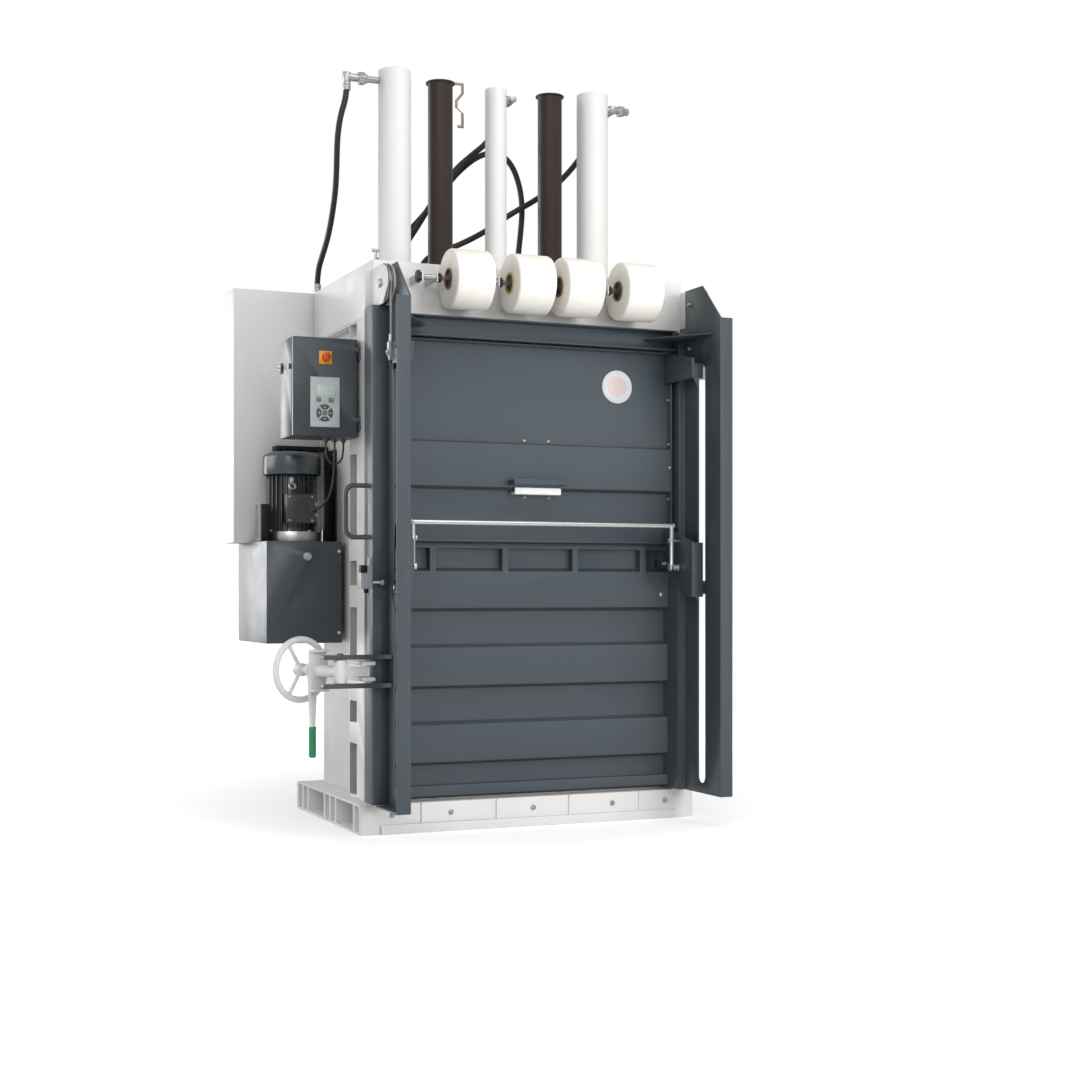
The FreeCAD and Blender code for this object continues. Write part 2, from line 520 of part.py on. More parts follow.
def pull_handle():
    """A bent loop of round bar, welded to the left duct."""
    face = "-(guard_inner + guard_sheet + duct_side)"
    out = f"{face} - pull_reach"
    top = "pull_low + pull_height"
    loop = [rod("X", "pull_radius", (f"{out} + pull_bend", "pull_line", level), "pull_reach - pull_bend")
            for level in ("pull_low", top)]
    loop.append(rod("Z", "pull_radius", (out, "pull_line", "pull_low + pull_bend"),
                    "pull_height - 2*pull_bend"))
    for level, turn in (("pull_low + pull_bend", 180), (f"{top} - pull_bend", 90)):
        corner = doc.addObject("Part::Torus", "corner")
        bind(corner, Radius1="pull_bend", Radius2="pull_radius")
        corner.Angle3 = 90
        corner.Placement = FreeCAD.Placement(
            FreeCAD.Vector(), FreeCAD.Rotation(FreeCAD.Vector(1, 0, 0), 90)
            * FreeCAD.Rotation(FreeCAD.Vector(0, 0, 1), turn))
        loop.append(move(corner, f"{out} + pull_bend", "pull_line", level))
    return loop


def bale_rib(low, high):
    """A pressed rib, open to the back, closed by the skin behind it."""
    back, face, fold = "door_skin - door_sheet", "door_face", "door_rib_fold"
    outline = ((back, f"{low} - door_rib_slope"), (face, low), (face, high),
               (back, f"{high} + door_rib_slope"), (back, f"{high} + door_rib_slope - 1.1*{fold}"),
               (f"{face} + {fold}", f"{high} - {fold}"), (f"{face} + {fold}", f"{low} + {fold}"),
               (back, f"{low} - door_rib_slope + 1.1*{fold}"))
    return pad("bale_rib", "YZ_Plane", outline, "-door_half", "door_half")


def front_door():
    node(guard("left_guard"))
    node(mirror("right_guard", guard("right_guard_source")))
    node(group("counterweight_ducts", fuse("left_duct", duct("duct_side"), *pull_handle()),
               fuse("right_duct", mirror("right_duct_tube", duct("right_duct_side")), *door_knuckles())))
    skin = box(("-door_half", "door_half"), ("door_skin - door_sheet", "door_skin"),
               ("door_bottom", "door_top"))
    ribs = [bale_rib(f"rib_low_{count}", f"rib_high_{count}") for count in range(2, 5)]
    sill = box(("-door_half", "door_half"), ("door_face", "door_skin - door_sheet"),
               ("rib_low_1", "rib_high_1"))
    fold = box(("-door_half", "door_half"), ("door_face", "door_skin - door_sheet"),
               ("top_fold", "door_top"))
    ends = [box((low, f"{low} + door_end"), ("guard_back", "door_skin"), ("door_bottom", "door_top"))
            for low in ("-door_half", "door_half - door_end")]
    uprights = [box((f"upright_shift + {step}*upright_pitch - upright_width/2",
                     f"upright_shift + {step}*upright_pitch + upright_width/2"),
                    ("door_face", "door_skin - door_sheet"), ("rib_high_4", "top_fold"))
                for step in (-1.5, -0.5, 0.5, 1.5)]
    node(fuse("bale_door", skin, sill, fold, *ribs, *ends, *uprights))
    web = box(("-guard_inner + bar_width", "guard_inner - bar_width"),
              ("beam_back - beam_sheet", "beam_back"),
              ("beam_bottom", "beam_top"))
    flanges = [box(("-guard_inner + bar_width", "guard_inner - bar_width"), ("beam_front", "beam_back"),
                   (low, f"{low} + beam_sheet")) for low in ("beam_bottom", "beam_top - beam_sheet")]
    gussets = [pad("gusset", "XY_Plane",
                   ((sign + "(guard_inner - bar_width)", "beam_front"),
                    (sign + "(guard_inner - gusset_leg - bar_width)", "beam_front"),
                    (sign + "guard_inner", "beam_front - gusset_depth"),
                    (sign + "guard_inner", "guard_back"),
                    (sign + "(guard_inner - bar_width)", "guard_back")),
                   "gusset_low", "gusset_low + beam_sheet") for sign in ("-", "")]
    roots = [box(span, ("beam_front", "beam_back"), ("gusset_low", "gusset_low + beam_sheet"))
             for span in (("-guard_inner + bar_width", "-guard_inner + bar_width + gusset_leg"),
                          ("guard_inner - bar_width - gusset_leg", "guard_inner - bar_width"))]
    node(fuse("top_beam", web, *flanges, *gussets, *roots))


def pulley_bracket():
    """Two cheeks, a back web and the fixed pin that the rope pulley turns on."""
    inner = "guard_inner + guard_sheet"
    outer = f"{inner} + pulley_space"
    outline = (("cheek_back", "duct_top"), ("cheek_front + cheek_corner", "duct_top"),
               ("cheek_front", "duct_top + cheek_corner"), ("cheek_front", "guard_top - cheek_corner"),
               ("cheek_front + cheek_corner/3", "guard_top - cheek_corner/3"),
               ("cheek_front + cheek_corner", "guard_top"), ("cheek_back", "guard_top"))
    cheeks = [pad("cheek", "YZ_Plane", outline, f"-({low}) - cheek_sheet", f"-({low})")
              for low in (outer, inner)]
    web = box((f"-({inner}) - duct_side", f"-({inner})"), ("cheek_back - cheek_sheet", "cheek_back"),
              ("duct_top", "guard_top"))
    pin = rod("X", "pulley_pin", (f"-({outer}) - cheek_sheet - 3", "slot_line + rope_turn", "pulley_height"),
              "pulley_space + 3")
    return fuse("pulley_bracket", *cheeks, web, pin)


def pulley():
    """A grooved pulley whose front and back rope lines lie over the slot and the weight."""
    low = "-rope_line - pulley_width/2"
    centre = ("slot_line + rope_turn", "pulley_height")
    disc = rod("X", "pulley_rim", (low, *centre), "pulley_width")
    rim = rod("X", "pulley_rim + 1", ("-rope_line - groove_width_rope/2", *centre), "groove_width_rope")
    core = rod("X", "rope_turn - rope_radius - 0.3", ("-rope_line - groove_width_rope/2 - 1", *centre),
               "groove_width_rope + 2")
    bore = rod("X", "pulley_pin + running_gap", (f"{low} - 1", *centre), "pulley_width + 2")
    return cut("pulley", disc, cut("groove", rim, core), bore)


def door_ropes():
    eye = "upper_roller + eye_height"
    front = rod("Z", "rope_radius", ("-rope_line", "slot_line", eye), f"pulley_height - ({eye})")
    low = "weight_bottom + weight_height"
    back = rod("Z", "rope_radius", ("-rope_line", "slot_line + 2*rope_turn", low),
               f"pulley_height - ({low})")
    node(group("door_ropes", front, mirror("front_rope_right", front)))
    node(group("weight_ropes", back, mirror("back_rope_right", back)))


def balance():
    bracket = pulley_bracket()
    node(group("pulley_brackets", bracket, mirror("right_bracket", bracket)))
    wheel = pulley()
    node(group("rope_pulleys", wheel, mirror("right_pulley", wheel)))
    door_ropes()
    node(group("counterweights", weight("duct_side"), mirror("right_weight", weight("right_duct_side"))))


def weight(side):
    """A bar that hangs in its duct with the same space all round."""
    inner, outer = "guard_inner + guard_sheet", f"guard_inner + guard_sheet + {side}"
    return box((f"-({outer}) + duct_sheet + weight_gap", f"-({inner}) - duct_sheet - weight_gap"),
               ("duct_front + duct_sheet + weight_gap", "duct_back - duct_sheet - weight_gap"),
               ("weight_bottom", "weight_bottom + weight_height"))


def loading_door():
    skin = box(("-panel_half", "panel_half"), ("panel_front", "panel_front + panel_sheet"),
               ("panel_bottom", "panel_top"))
    edges = [box((low, f"{low} + panel_sheet"), ("panel_face", "panel_front"),
                 ("panel_bottom", "panel_top")) for low in ("-panel_half", "panel_half - panel_sheet")]
    reach = "panel_half - panel_sheet - arm_sheet"
    lips = [box((f"-({reach})", reach), ("panel_face", "panel_front"),
                (low, f"{low} + panel_sheet")) for low in ("panel_bottom", "panel_top - panel_sheet")]
    fold = "door_rib_fold"
    outline = (("panel_front", "band_low - band_slope"), ("panel_face", "band_low"),
               ("panel_face", "band_high"), ("panel_front", "band_high + band_slope"),
               ("panel_front", f"band_high + band_slope - 1.1*{fold}"),
               (f"panel_face + {fold}", f"band_high - {fold}"),
               (f"panel_face + {fold}", f"band_low + {fold}"),
               ("panel_front", f"band_low - band_slope + 1.1*{fold}"))
    band = pad("panel_band", "YZ_Plane", outline, "-panel_half", "panel_half")
    node(fuse("door_panel", skin, band, *edges, *lips))
    node(group("door_arms", *[side_arm for side_arm in arms()]))
    left, right = "handle_middle - handle_width/2", "handle_middle + handle_width/2"
    level = ("handle_low", "handle_low + handle_height")
    front = "panel_face - handle_reach"
    legs = [box((low, f"{low} + handle_bar"), (front, "panel_face"), level)
            for low in (left, f"{right} - handle_bar")]
    grip = box((left, right), (front, f"{front} + handle_bar"), level)
    node(fuse("door_handle", grip, *legs))
    wide = ("block_middle - block_width/2", "block_middle + block_width/2")
    nose = box(wide, ("panel_face - block_nose", "panel_face - 0.4"),
               ("block_low", "block_low + block_height"))
    root = box(wide, ("panel_face - block_nose", "panel_front"),
               ("block_low", "band_low - band_slope - 0.4"))
    node(fuse("guide_block", nose, root))


def arms():
    """Four bent plates that carry the rollers, with the rope eyes on the upper pins."""
    inner = "panel_half - panel_sheet - arm_sheet"
    plates = []
    for low, high, roller in (("upper_arm_low", "upper_arm_high", "upper_roller"),
                              ("lower_arm_low", "lower_arm_high", "lower_roller")):
        if roller == "upper_roller":
            outline = (("panel_front", low), ("panel_front", high), ("panel_face", high),
                       ("arm_front", f"{high} - 40"), ("arm_front", low))
        else:
            outline = (("panel_front", "panel_bottom + 2*panel_sheet"), ("panel_front", high),
                       ("panel_face", high), ("arm_front", f"{high} - 60"), ("arm_front", low),
                       ("slot_line + 2*roller_radius", low), ("bail_line + 2*bail_bolt", "bail_pivot - 30"),
                       ("bail_line + 2*bail_bolt", "bail_pivot + 30"))
        plate = pad("arm_plate", "YZ_Plane", outline, f"-({inner} + arm_sheet)", f"-({inner})")
        face = box(("-arm_outer", f"-({inner})"), ("arm_front", "arm_front + arm_plate"),
                   (low, f"{high} - 60"))
        pin_end = "rope_line + eye_size/2" if roller == "upper_roller" else "rope_line - eye_size/2"
        pin = rod("X", "roller_pin", (f"-({pin_end})", "slot_line", roller), f"{pin_end} - ({inner})")
        pieces = [plate, face, pin]
        if roller == "upper_roller":
            pieces.append(box(("-rope_line - eye_size/2", "-rope_line + eye_size/2"),
                              ("slot_line - eye_size/2", "slot_line + eye_size/2"),
                              (f"{roller} - eye_size", f"{roller} + eye_height")))
            hole = None
        else:
            hole = rod("X", "bail_radius + running_gap",
                       (f"-({inner} + arm_sheet) - 1", "bail_line", "bail_pivot"), "arm_sheet + 2")
        arm = fuse("arm", *pieces)
        if hole:
            arm = cut("lower_arm", arm, hole)
        plates.extend((arm, mirror("right_arm", arm)))
    return plates


def rollers():
    for label, level in (("upper_rollers", "upper_roller"), ("lower_rollers", "lower_roller")):
        low = "-(roller_start + roller_width)"
        wheel = cut(label + "_left",
                    rod("X", "roller_radius", (low, "slot_line", level), "roller_width"),
                    rod("X", "roller_pin + running_gap", (f"{low} - 1", "slot_line", level),
                        "roller_width + 2"))
        node(group(label, wheel, mirror(label + "_right", wheel)))


def bail_bar():
    """A round bar across the door, bent down at both ends to its pivots."""
    top = "bail_pivot + bail_reach"
    cross = rod("X", "bail_radius", ("-bail_half", "bail_line", top), "2*bail_half")
    pieces = [cross]
    for sign in ("-", ""):
        x = sign + "bail_half"
        pieces.append(rod("Z", "bail_radius", (x, "bail_line", "bail_pivot"), "bail_reach"))
        ball = doc.addObject("Part::Sphere", "bend")
        bind(ball, Radius="bail_radius")
        pieces.append(move(ball, x, "bail_line", top))
        low = "-(panel_half - panel_sheet)" if sign else "bail_half"
        pieces.append(rod("X", "bail_radius", (low, "bail_line", "bail_pivot"),
                          "panel_half - panel_sheet - bail_half"))
        head = "-bail_half" if sign else "bail_half - bail_bolt"
        pieces.append(rod("X", "1.5*bail_radius", (head, "bail_line", "bail_pivot"), "bail_bolt"))
    node(fuse("bail_bar", *pieces))


def lock():
    face = "-(guard_inner + guard_sheet)"
    deep = ("lock_y - lock_arm_depth/2", "lock_y + lock_arm_depth/2 - 4")
    flats = [box(("lock_arm_end", face), deep, (low, f"{low} + lock_arm_sheet"))
             for low in ("lock_z - arm_gap/2 - lock_arm_sheet", "lock_z + arm_gap/2")]
    pin = rod("Z", "lock_pin", ("lock_x", "lock_y", "lock_z - arm_gap/2 - lock_arm_sheet"),
              "arm_gap + 2*lock_arm_sheet + 6")
    node(fuse("lock_arms", *flats, pin))
    node(turned_lock("lock_swivel", swivel_pieces()))
    node(turned_lock("handwheel", wheel_pieces()))
    node(turned_lock("lock_lever", lever_pieces()))


def turned_lock(label, shape):
    """Turns a piece that is drawn along Y to the slanting line of the spindle."""
    shape.Label = label
    shape.Placement = FreeCAD.Placement(FreeCAD.Vector(), FreeCAD.Rotation())
    shape.setExpression("Placement.Base.x", ex("lock_x"))
    shape.setExpression("Placement.Base.y", ex("lock_y"))
    shape.setExpression("Placement.Base.z", ex("lock_z"))
    shape.setExpression("Placement.Rotation.Angle", ex("spindle_turn - 90"))
    return shape


def swivel_pieces():
    barrel_body = rod("Z", "barrel_radius", (0, 0, "-barrel_height/2"), "barrel_height")
    housing = rod("Y", "housing_radius", (0, 0, 0), "housing_length")
    plate = box(("-bracket_width/2", "bracket_width/2"),
                ("bracket_place", "bracket_place + bracket_sheet"),
                ("-bracket_height/2", "bracket_height/2"))
    tips = [box(("-bracket_width/2", "bracket_width/2"),
                ("bracket_place - 2*bracket_sheet", "bracket_place"), span)
            for span in (("bracket_height/2 - bracket_sheet", "bracket_height/2"),
                         ("-bracket_height/2", "-bracket_height/2 + bracket_sheet"))]
    stub = rod("Y", "stub_radius", (0, "bracket_place", 0), "stub_end - bracket_place")
    latch = doc.addObject("Part::Box", "latch")
    bind(latch, Length="latch_reach", Width="latch_size", Height="latch_size")
    latch.Placement = FreeCAD.Placement(
        FreeCAD.Vector(), FreeCAD.Rotation(FreeCAD.Vector(0, 0, 1), 90 - SIZES["spindle_turn"]))
    latch.setExpression("Placement.Base.x", ex("-sin(spindle_turn - 90)*latch_size/2"))
    latch.setExpression("Placement.Base.y", ex("-cos(spindle_turn - 90)*latch_size/2"))
    latch.setExpression("Placement.Base.z", ex("-latch_size/2"))
    latch.setExpression("Placement.Rotation.Angle", ex("spindle_turn - 90"))
    latch.setExpression("Placement.Rotation.Axis.z", "-1")
    solid = fuse("swivel_solid", barrel_body, housing, plate, stub, latch, *tips)
    holes = [rod("Z", "lock_pin + running_gap", (0, 0, "-barrel_height/2 - 1"), "barrel_height + 2"),
             rod("Y", "spindle_radius + running_gap", (0, "barrel_radius + 10", 0), "stub_end")]
    return cut("swivel", solid, *holes)


def wheel_pieces():
    start = "barrel_radius + 16"
    spindle = rod("Y", "spindle_radius", (0, start, 0), f"wheel_place + hub_length/2 + 6 - ({start})")
    hub = rod("Y", "hub_radius", (0, "wheel_place - hub_length/2", 0), "hub_length")
    rim = doc.addObject("Part::Torus", "rim")
    bind(rim, Radius1="wheel_radius", Radius2="wheel_rim")
    rim.Placement = FreeCAD.Placement(FreeCAD.Vector(), FreeCAD.Rotation(FreeCAD.Vector(1, 0, 0), 90))
    rim.setExpression("Placement.Base.y", ex("wheel_place"))
    spokes = []
    for turn in (90, 210, 330):
        spoke = doc.addObject("Part::Cylinder", "spoke")
        spoke.Placement = FreeCAD.Placement(
            FreeCAD.Vector(), FreeCAD.Rotation(FreeCAD.Vector(0, 1, 0), turn))
        bind(spoke, Radius="spoke_radius", Height="wheel_radius")
        spoke.setExpression("Placement.Base.y", ex("wheel_place"))
        spokes.append(spoke)
    return fuse("wheel", spindle, hub, rim, *spokes)


def lever_pieces():
    wide = ("lever_place", "lever_place + lever_width")
    eye = rod("Y", "lever_eye", (0, wide[0], 0), "lever_width")
    outline = (("-lever_width", 0), ("lever_width", 0),
               ("grip_radius*0.7", "-lever_length + grip_length"),
               ("-grip_radius*0.7", "-lever_length + grip_length"))
    shank = pad("lever_shank", "XZ_Plane", outline, *wide)
    grip = rod("Z", "grip_radius", (0, "lever_place + lever_width/2", "-lever_length"), "grip_length")
    bore = rod("Y", "stub_radius + running_gap", (0, "lever_place - 1", 0), "lever_width + 2")
    return cut("lever", fuse("lever_solid", eye, shank, grip), bore)


def limit_switch():
    face = "-(guard_inner + guard_sheet + duct_side)"
    right = f"{face} - switch_gap"
    deep = ("switch_line - switch_depth/2", "switch_line + switch_depth/2")
    case = box((f"{right} - switch_width", right), deep, ("switch_z", "switch_z + switch_height"))
    plate = box((right, face), ("duct_front", "switch_line + switch_depth/2 + 26"),
                ("switch_z + switch_height/3", "switch_z + switch_height + 30"))
    hole = rod("X", "plunger_radius + running_gap", (f"{right} - 22", "switch_line", "plunger_z"), 60)
    node(cut("limit_switch", fuse("switch_solid", case, plate), hole))
    stem = rod("X", "plunger_radius", (f"{right} - 14", "switch_line", "plunger_z"),
               "plunger_length + 14")
    tip = rod("X", "plunger_roller", (f"{right} + plunger_length - plunger_roller_width",
                                      "switch_line", "plunger_z"), "plunger_roller_width")
    node(fuse("switch_plunger", stem, tip))


def strap_rolls():
    """Four strap rolls on one rod, each with a holder and a star knob at its left."""
    level = ("roll_line", "roll_height")
    deep = ("roll_line - holder_depth/2", "head_front")
    high = ("roll_height - holder_depth/2", "roll_height + holder_depth/2")
    holders = [rod("X", "roll_rod", ("-roll_rod_end", *level), "2*roll_rod_end")]
    knobs = [rod("X", "knob_radius", ("-roll_rod_end - knob_width", *level), "knob_width")]
    for count in range(1, 5):
        left = f"roll_left_{count}"
        reel = rod("X", "roll_radius", (left, *level), "roll_width")
        bore = rod("X", "roll_rod + 0.3", (f"{left} - 1", *level), "roll_width + 2")
        node(cut(f"strap_roll_{count}", reel, bore))
        holders.append(box((f"{left} - holder_gap - holder_sheet", f"{left} - holder_gap"), deep, high))
        knobs.append(cut("star_knob", rod("X", "knob_radius", (f"{left} - knob_gap - knob_width", *level),
                                          "knob_width"),
                         rod("X", "roll_rod", (f"{left} - knob_gap - knob_width - 1", *level),
                             "knob_width + 2")))
    for low in ("-roll_rod_end + 4", "roll_rod_end - 4 - holder_sheet"):
        holders.append(box((low, f"{low} + holder_sheet"), deep, high))
    node(fuse("roll_carrier", *holders))
    node(group("star_knobs", *knobs))


def hydraulics():
    shell = cut("housing_shell",
                box(("tank_left", "tank_right"), ("tank_front", "tank_back"), ("tank_bottom", "tank_top")),
                box(("tank_left + tank_sheet", "tank_right - tank_sheet"),
                    ("tank_front + tank_sheet", "tank_back - tank_sheet"),
                    ("tank_bottom + tank_sheet", "tank_top - tank_sheet")))
    wall = "-(chamber_width/2 + wall_sheet)"
    cap = rod("Y", "tank_lock_radius", ("(tank_left + tank_right)/2 + 10", "tank_front - 8",
                                        "tank_top - 60"), 8)
    strips = [box(("tank_right", wall), (f"wall_rear - {place}", f"wall_rear - {place} + 10"),
                  ("tank_bottom", "tank_top")) for place in (160, 10)]
    node(fuse("tank_housing", shell, *strips, cap))
    motor()
    node(box(("valve_left", "valve_left + valve_width"), ("valve_front", "valve_front + valve_depth"),
             ("tank_top", "tank_top + valve_height")), "valve_block")
    outside = fuse("cover_outside", box(("cover_left", "cover_right"), ("cover_front", "cover_back"),
                                        ("tank_top", "head_top")),
                   box(("tank_right", wall), ("wall_rear - 28", "cover_back"),
                       ("tank_top + 60", "head_top - 200")))
    inside = box(("cover_left + cover_sheet", "cover_right - cover_sheet"),
                 ("cover_front + cover_sheet", "cover_back - cover_sheet"),
                 ("tank_top + cover_sheet", "head_top - cover_sheet"))
    node(cut("rear_cover", outside, inside))


def motor():
    foot = "tank_top"
    ring = rod("Z", "motor_flange", ("motor_x", "motor_y", foot), "motor_foot")
    core = rod("Z", "motor_core", ("motor_x", "motor_y", f"{foot} + motor_foot"),
               f"motor_top - ({foot} + motor_foot)")
    fins = []
    for count in range(SIZES["motor_fins"]):
        fin = doc.addObject("Part::Box", "fin")
        bind(fin, Length="motor_fin - motor_core/2", Width="motor_fin_sheet",
             Height=f"motor_top - 24 - ({foot} + motor_foot)")
        fin.Placement = FreeCAD.Placement(
            FreeCAD.Vector(), FreeCAD.Rotation(FreeCAD.Vector(0, 0, 1), 0))
        turn = 360 / SIZES["motor_fins"] * count
        fin.setExpression("Placement.Rotation.Angle", str(turn))
        fin.setExpression("Placement.Base.x", ex(f"motor_x + cos({turn})*motor_core/2"
                                                 f" + sin({turn})*motor_fin_sheet/2"))
        fin.setExpression("Placement.Base.y", ex(f"motor_y + sin({turn})*motor_core/2"
                                                 f" - cos({turn})*motor_fin_sheet/2"))
        fin.setExpression("Placement.Base.z", ex(f"{foot} + motor_foot"))
        fins.append(fin)
    low = f"{foot} + motor_foot + 34"
    terminals = box(("motor_x - terminal_width/2", "motor_x + terminal_width/2"),
                    ("motor_y - motor_fin - terminal_depth/2", "motor_y - motor_core + 12"),
                    (low, f"{low} + terminal_height"))
    seat = rod("Z", "shaft_radius + running_gap", ("motor_x", "motor_y", "motor_top - shaft_seat"),
               "shaft_seat + 1")
    gland = rod("Y", 9, ("box_left + 178", "box_front + 352", "box_bottom - 267"), 20)
    node(cut("motor_body", fuse("motor_solid", ring, core, terminals, gland, *fins), seat))
    cowl_low = "motor_top"
    outside = rod("Z", "cowl_radius", ("motor_x", "motor_y", f"{cowl_low} - 20"), "cowl_height")
    inside = rod("Z", "cowl_radius - cowl_sheet", ("motor_x", "motor_y", f"{cowl_low} - 21"),
                 "cowl_height - cowl_sheet + 1")
    step = 26
    vents = [box((f"motor_x + {offset}", f"motor_x + {offset + 12}"),
                 ("motor_y - 76", "motor_y + 76"), (f"{cowl_low} + 40", f"{cowl_low} + cowl_height"))
             for offset in range(-71, 70, step)]
    lugs = [box(("motor_x - 8", "motor_x + 8"), span, (cowl_low, f"{cowl_low} + 6"))
            for span in (("motor_y - cowl_radius + 1", "motor_y - motor_core/2"),
                         ("motor_y + motor_core/2", "motor_y + cowl_radius - 1"))]
    node(fuse("motor_cowl", cut("cowl_shell", outside, inside, *vents), *lugs))
    shaft = rod("Z", "shaft_radius", ("motor_x", "motor_y", "motor_top - shaft_seat + 2"),
                "shaft_seat + fan_height + 12")
    disc = rod("Z", "fan_radius", ("motor_x", "motor_y", "motor_top + 16"), 4)
    blades = []
    for count in range(SIZES["fan_blades"]):
        blade = doc.addObject("Part::Box", "blade")
        bind(blade, Length="fan_radius - 24", Width=3, Height="fan_height")
        turn = 360 / SIZES["fan_blades"] * count
        blade.Placement = FreeCAD.Placement(
            FreeCAD.Vector(), FreeCAD.Rotation(FreeCAD.Vector(0, 0, 1), 0))
        blade.setExpression("Placement.Rotation.Angle", str(turn))
        blade.setExpression("Placement.Base.x", ex(f"motor_x + cos({turn})*20"))
        blade.setExpression("Placement.Base.y", ex(f"motor_y + sin({turn})*20"))
        blade.setExpression("Placement.Base.z", ex("motor_top + 16"))
        blades.append(blade)
    node(fuse("motor_fan", shaft, disc, *blades))


def control_box():
    shell = cut("box_shell",
                box(("box_left", "box_right"), ("box_front", "box_back"), ("box_bottom", "box_top")),
                box(("box_left + box_sheet", "box_right - box_sheet"),
                    ("box_front - 1", "box_back - box_sheet"),
                    ("box_bottom + box_sheet", "box_top - box_sheet")))
    face = "-(chamber_width/2 + wall_sheet + post_width)"
    spacers = [box(("box_right", face), ("window_front - 24", "window_front - 2"),
                   (low, f"{low} + 40")) for low in ("box_bottom + 30", "box_top - 70")]
    leaves = []
    lids = []
    front = "box_front - lid_depth"
    axis = ("box_right + lid_hinge_out", f"{front} - lid_hinge_radius")
    edge = "box_right - lid_edge_gap"
    for low in ("box_bottom + lid_hinge_inset", "box_top - lid_hinge_inset - lid_hinge_height"):
        middle = f"{low} + lid_hinge_height/2"
        upper = f"{middle} + 0.5"
        leaves.append(rod("Z", "lid_hinge_radius", (*axis, low), "lid_hinge_height/2"))
        leaves.append(box(("box_right", "box_right + lid_leaf"), (axis[1], "box_front + 14"), (low, middle)))
        lids.append(rod("Z", "lid_hinge_radius", (*axis, upper), "lid_hinge_height/2"))
        lids.append(box((f"{edge} - lid_leaf_width", axis[0]), (f"{front} - lid_leaf", front),
                        (upper, f"{upper} + lid_hinge_height/2")))
    barrel_lock = rod("X", 10, ("box_left - 8", "box_front + 20", "box_top - 110"), 8)
    glands = [rod("Z", 9, (f"box_left + {place}", "box_front + 60", "box_bottom - 16"), 16)
              for place in (150, 185, 220)]
    node(fuse("control_box", shell, *spacers, *leaves, *glands, barrel_lock))
    lid = box(("box_left", edge), (front, "box_front - 0.3"), ("box_bottom", "box_top"))
    node(fuse("control_cover", lid, *lids))
    plate = box(("main_x - main_size/2", "main_x + main_size/2"), (f"{front} - main_sheet", front),
                ("main_z - main_size/2", "main_z + main_size/2"))
    node(plate, "main_switch")
    boss = rod("Y", "knob_grip", ("main_x", f"{front} - main_sheet - knob_reach", "main_z"),
               "knob_reach - 0.3")
    wing = box(("main_x - knob_grip*0.3", "main_x + knob_grip*0.3"),
               (f"{front} - main_sheet - knob_reach - 8", f"{front} - main_sheet - knob_reach"),
               ("main_z - knob_grip", "main_z + knob_grip"))
    node(fuse("switch_knob", boss, wing))
    keypad(front)


def keypad(front):
    face = f"{front} - keypad_sheet"
    board = box(("keypad_left", "keypad_right"), (face, front), ("keypad_low", "keypad_high"))
    keys = (("start_button", "start_x", "key_z", "key_radius"),
            ("stop_button", "stop_x", "key_z", "key_radius"),
            ("arrow_pad", "pad_x", "pad_z", "pad_radius"))
    pockets = []
    top = f"{face} - (key_height - key_sink)"
    for label, x, z, radius in keys:
        pockets.append(rod("Y", f"{radius} + running_gap", (x, f"{face} - 1", z), "keypad_sheet + 2"))
        key = rod("Y", radius, (x, top, z), "key_height")
        if label == "arrow_pad":
            key = cut("pad_ring", key, rod("Y", "centre_key + running_gap", (x, f"{top} - 1", z),
                                           "key_height + 2"))
        node(key, label)
    node(cut("keypad", board, *pockets))
    node(rod("Y", "centre_key", ("pad_x", top, "pad_z"), "key_height"), "centre_button")


def fasteners():
    """Round heads of bolts, and the tee bolt on the crosshead."""
    heads = [bolt("Y", f"{step}*rib_pitch", "-base_depth/2 - bolt_height", "base_height - 35")
             for step in (-1, 0, 1)]
    side_face = "tank_front - bolt_height"
    heads += [bolt("Y", "tank_right - 11", side_face, level)
              for level in ("tank_bottom + 40", "tank_top - 40")]
    tee_x = "-(chamber_width/2 + wall_sheet + post_width/2)"
    stem = rod("Z", "tee_radius", (tee_x, "head_front + 40", "head_top"), "tee_height")
    bar = rod("X", "tee_radius", (f"{tee_x} - tee_bar/2", "head_front + 40", "head_top + tee_height"),
              "tee_bar")
    node(group("frame_bolts", fuse("tee_bolt", stem, bar), *heads))
    dark = []
    for level in ("lock_z - arm_gap/2 - lock_arm_sheet/2", "lock_z + arm_gap/2 + lock_arm_sheet/2"):
        dark.append(rod("X", "bolt_radius", ("-guard_inner", "lock_y", level), "bolt_height"))
    for level in ("guard_top - 60", "flange_top - 90"):
        head = rod("X", "bolt_radius", ("-guard_inner", "guard_back - 40", level), "bolt_height")
        dark.extend((head, mirror("right_head", head)))
    node(group("door_bolts", *dark))


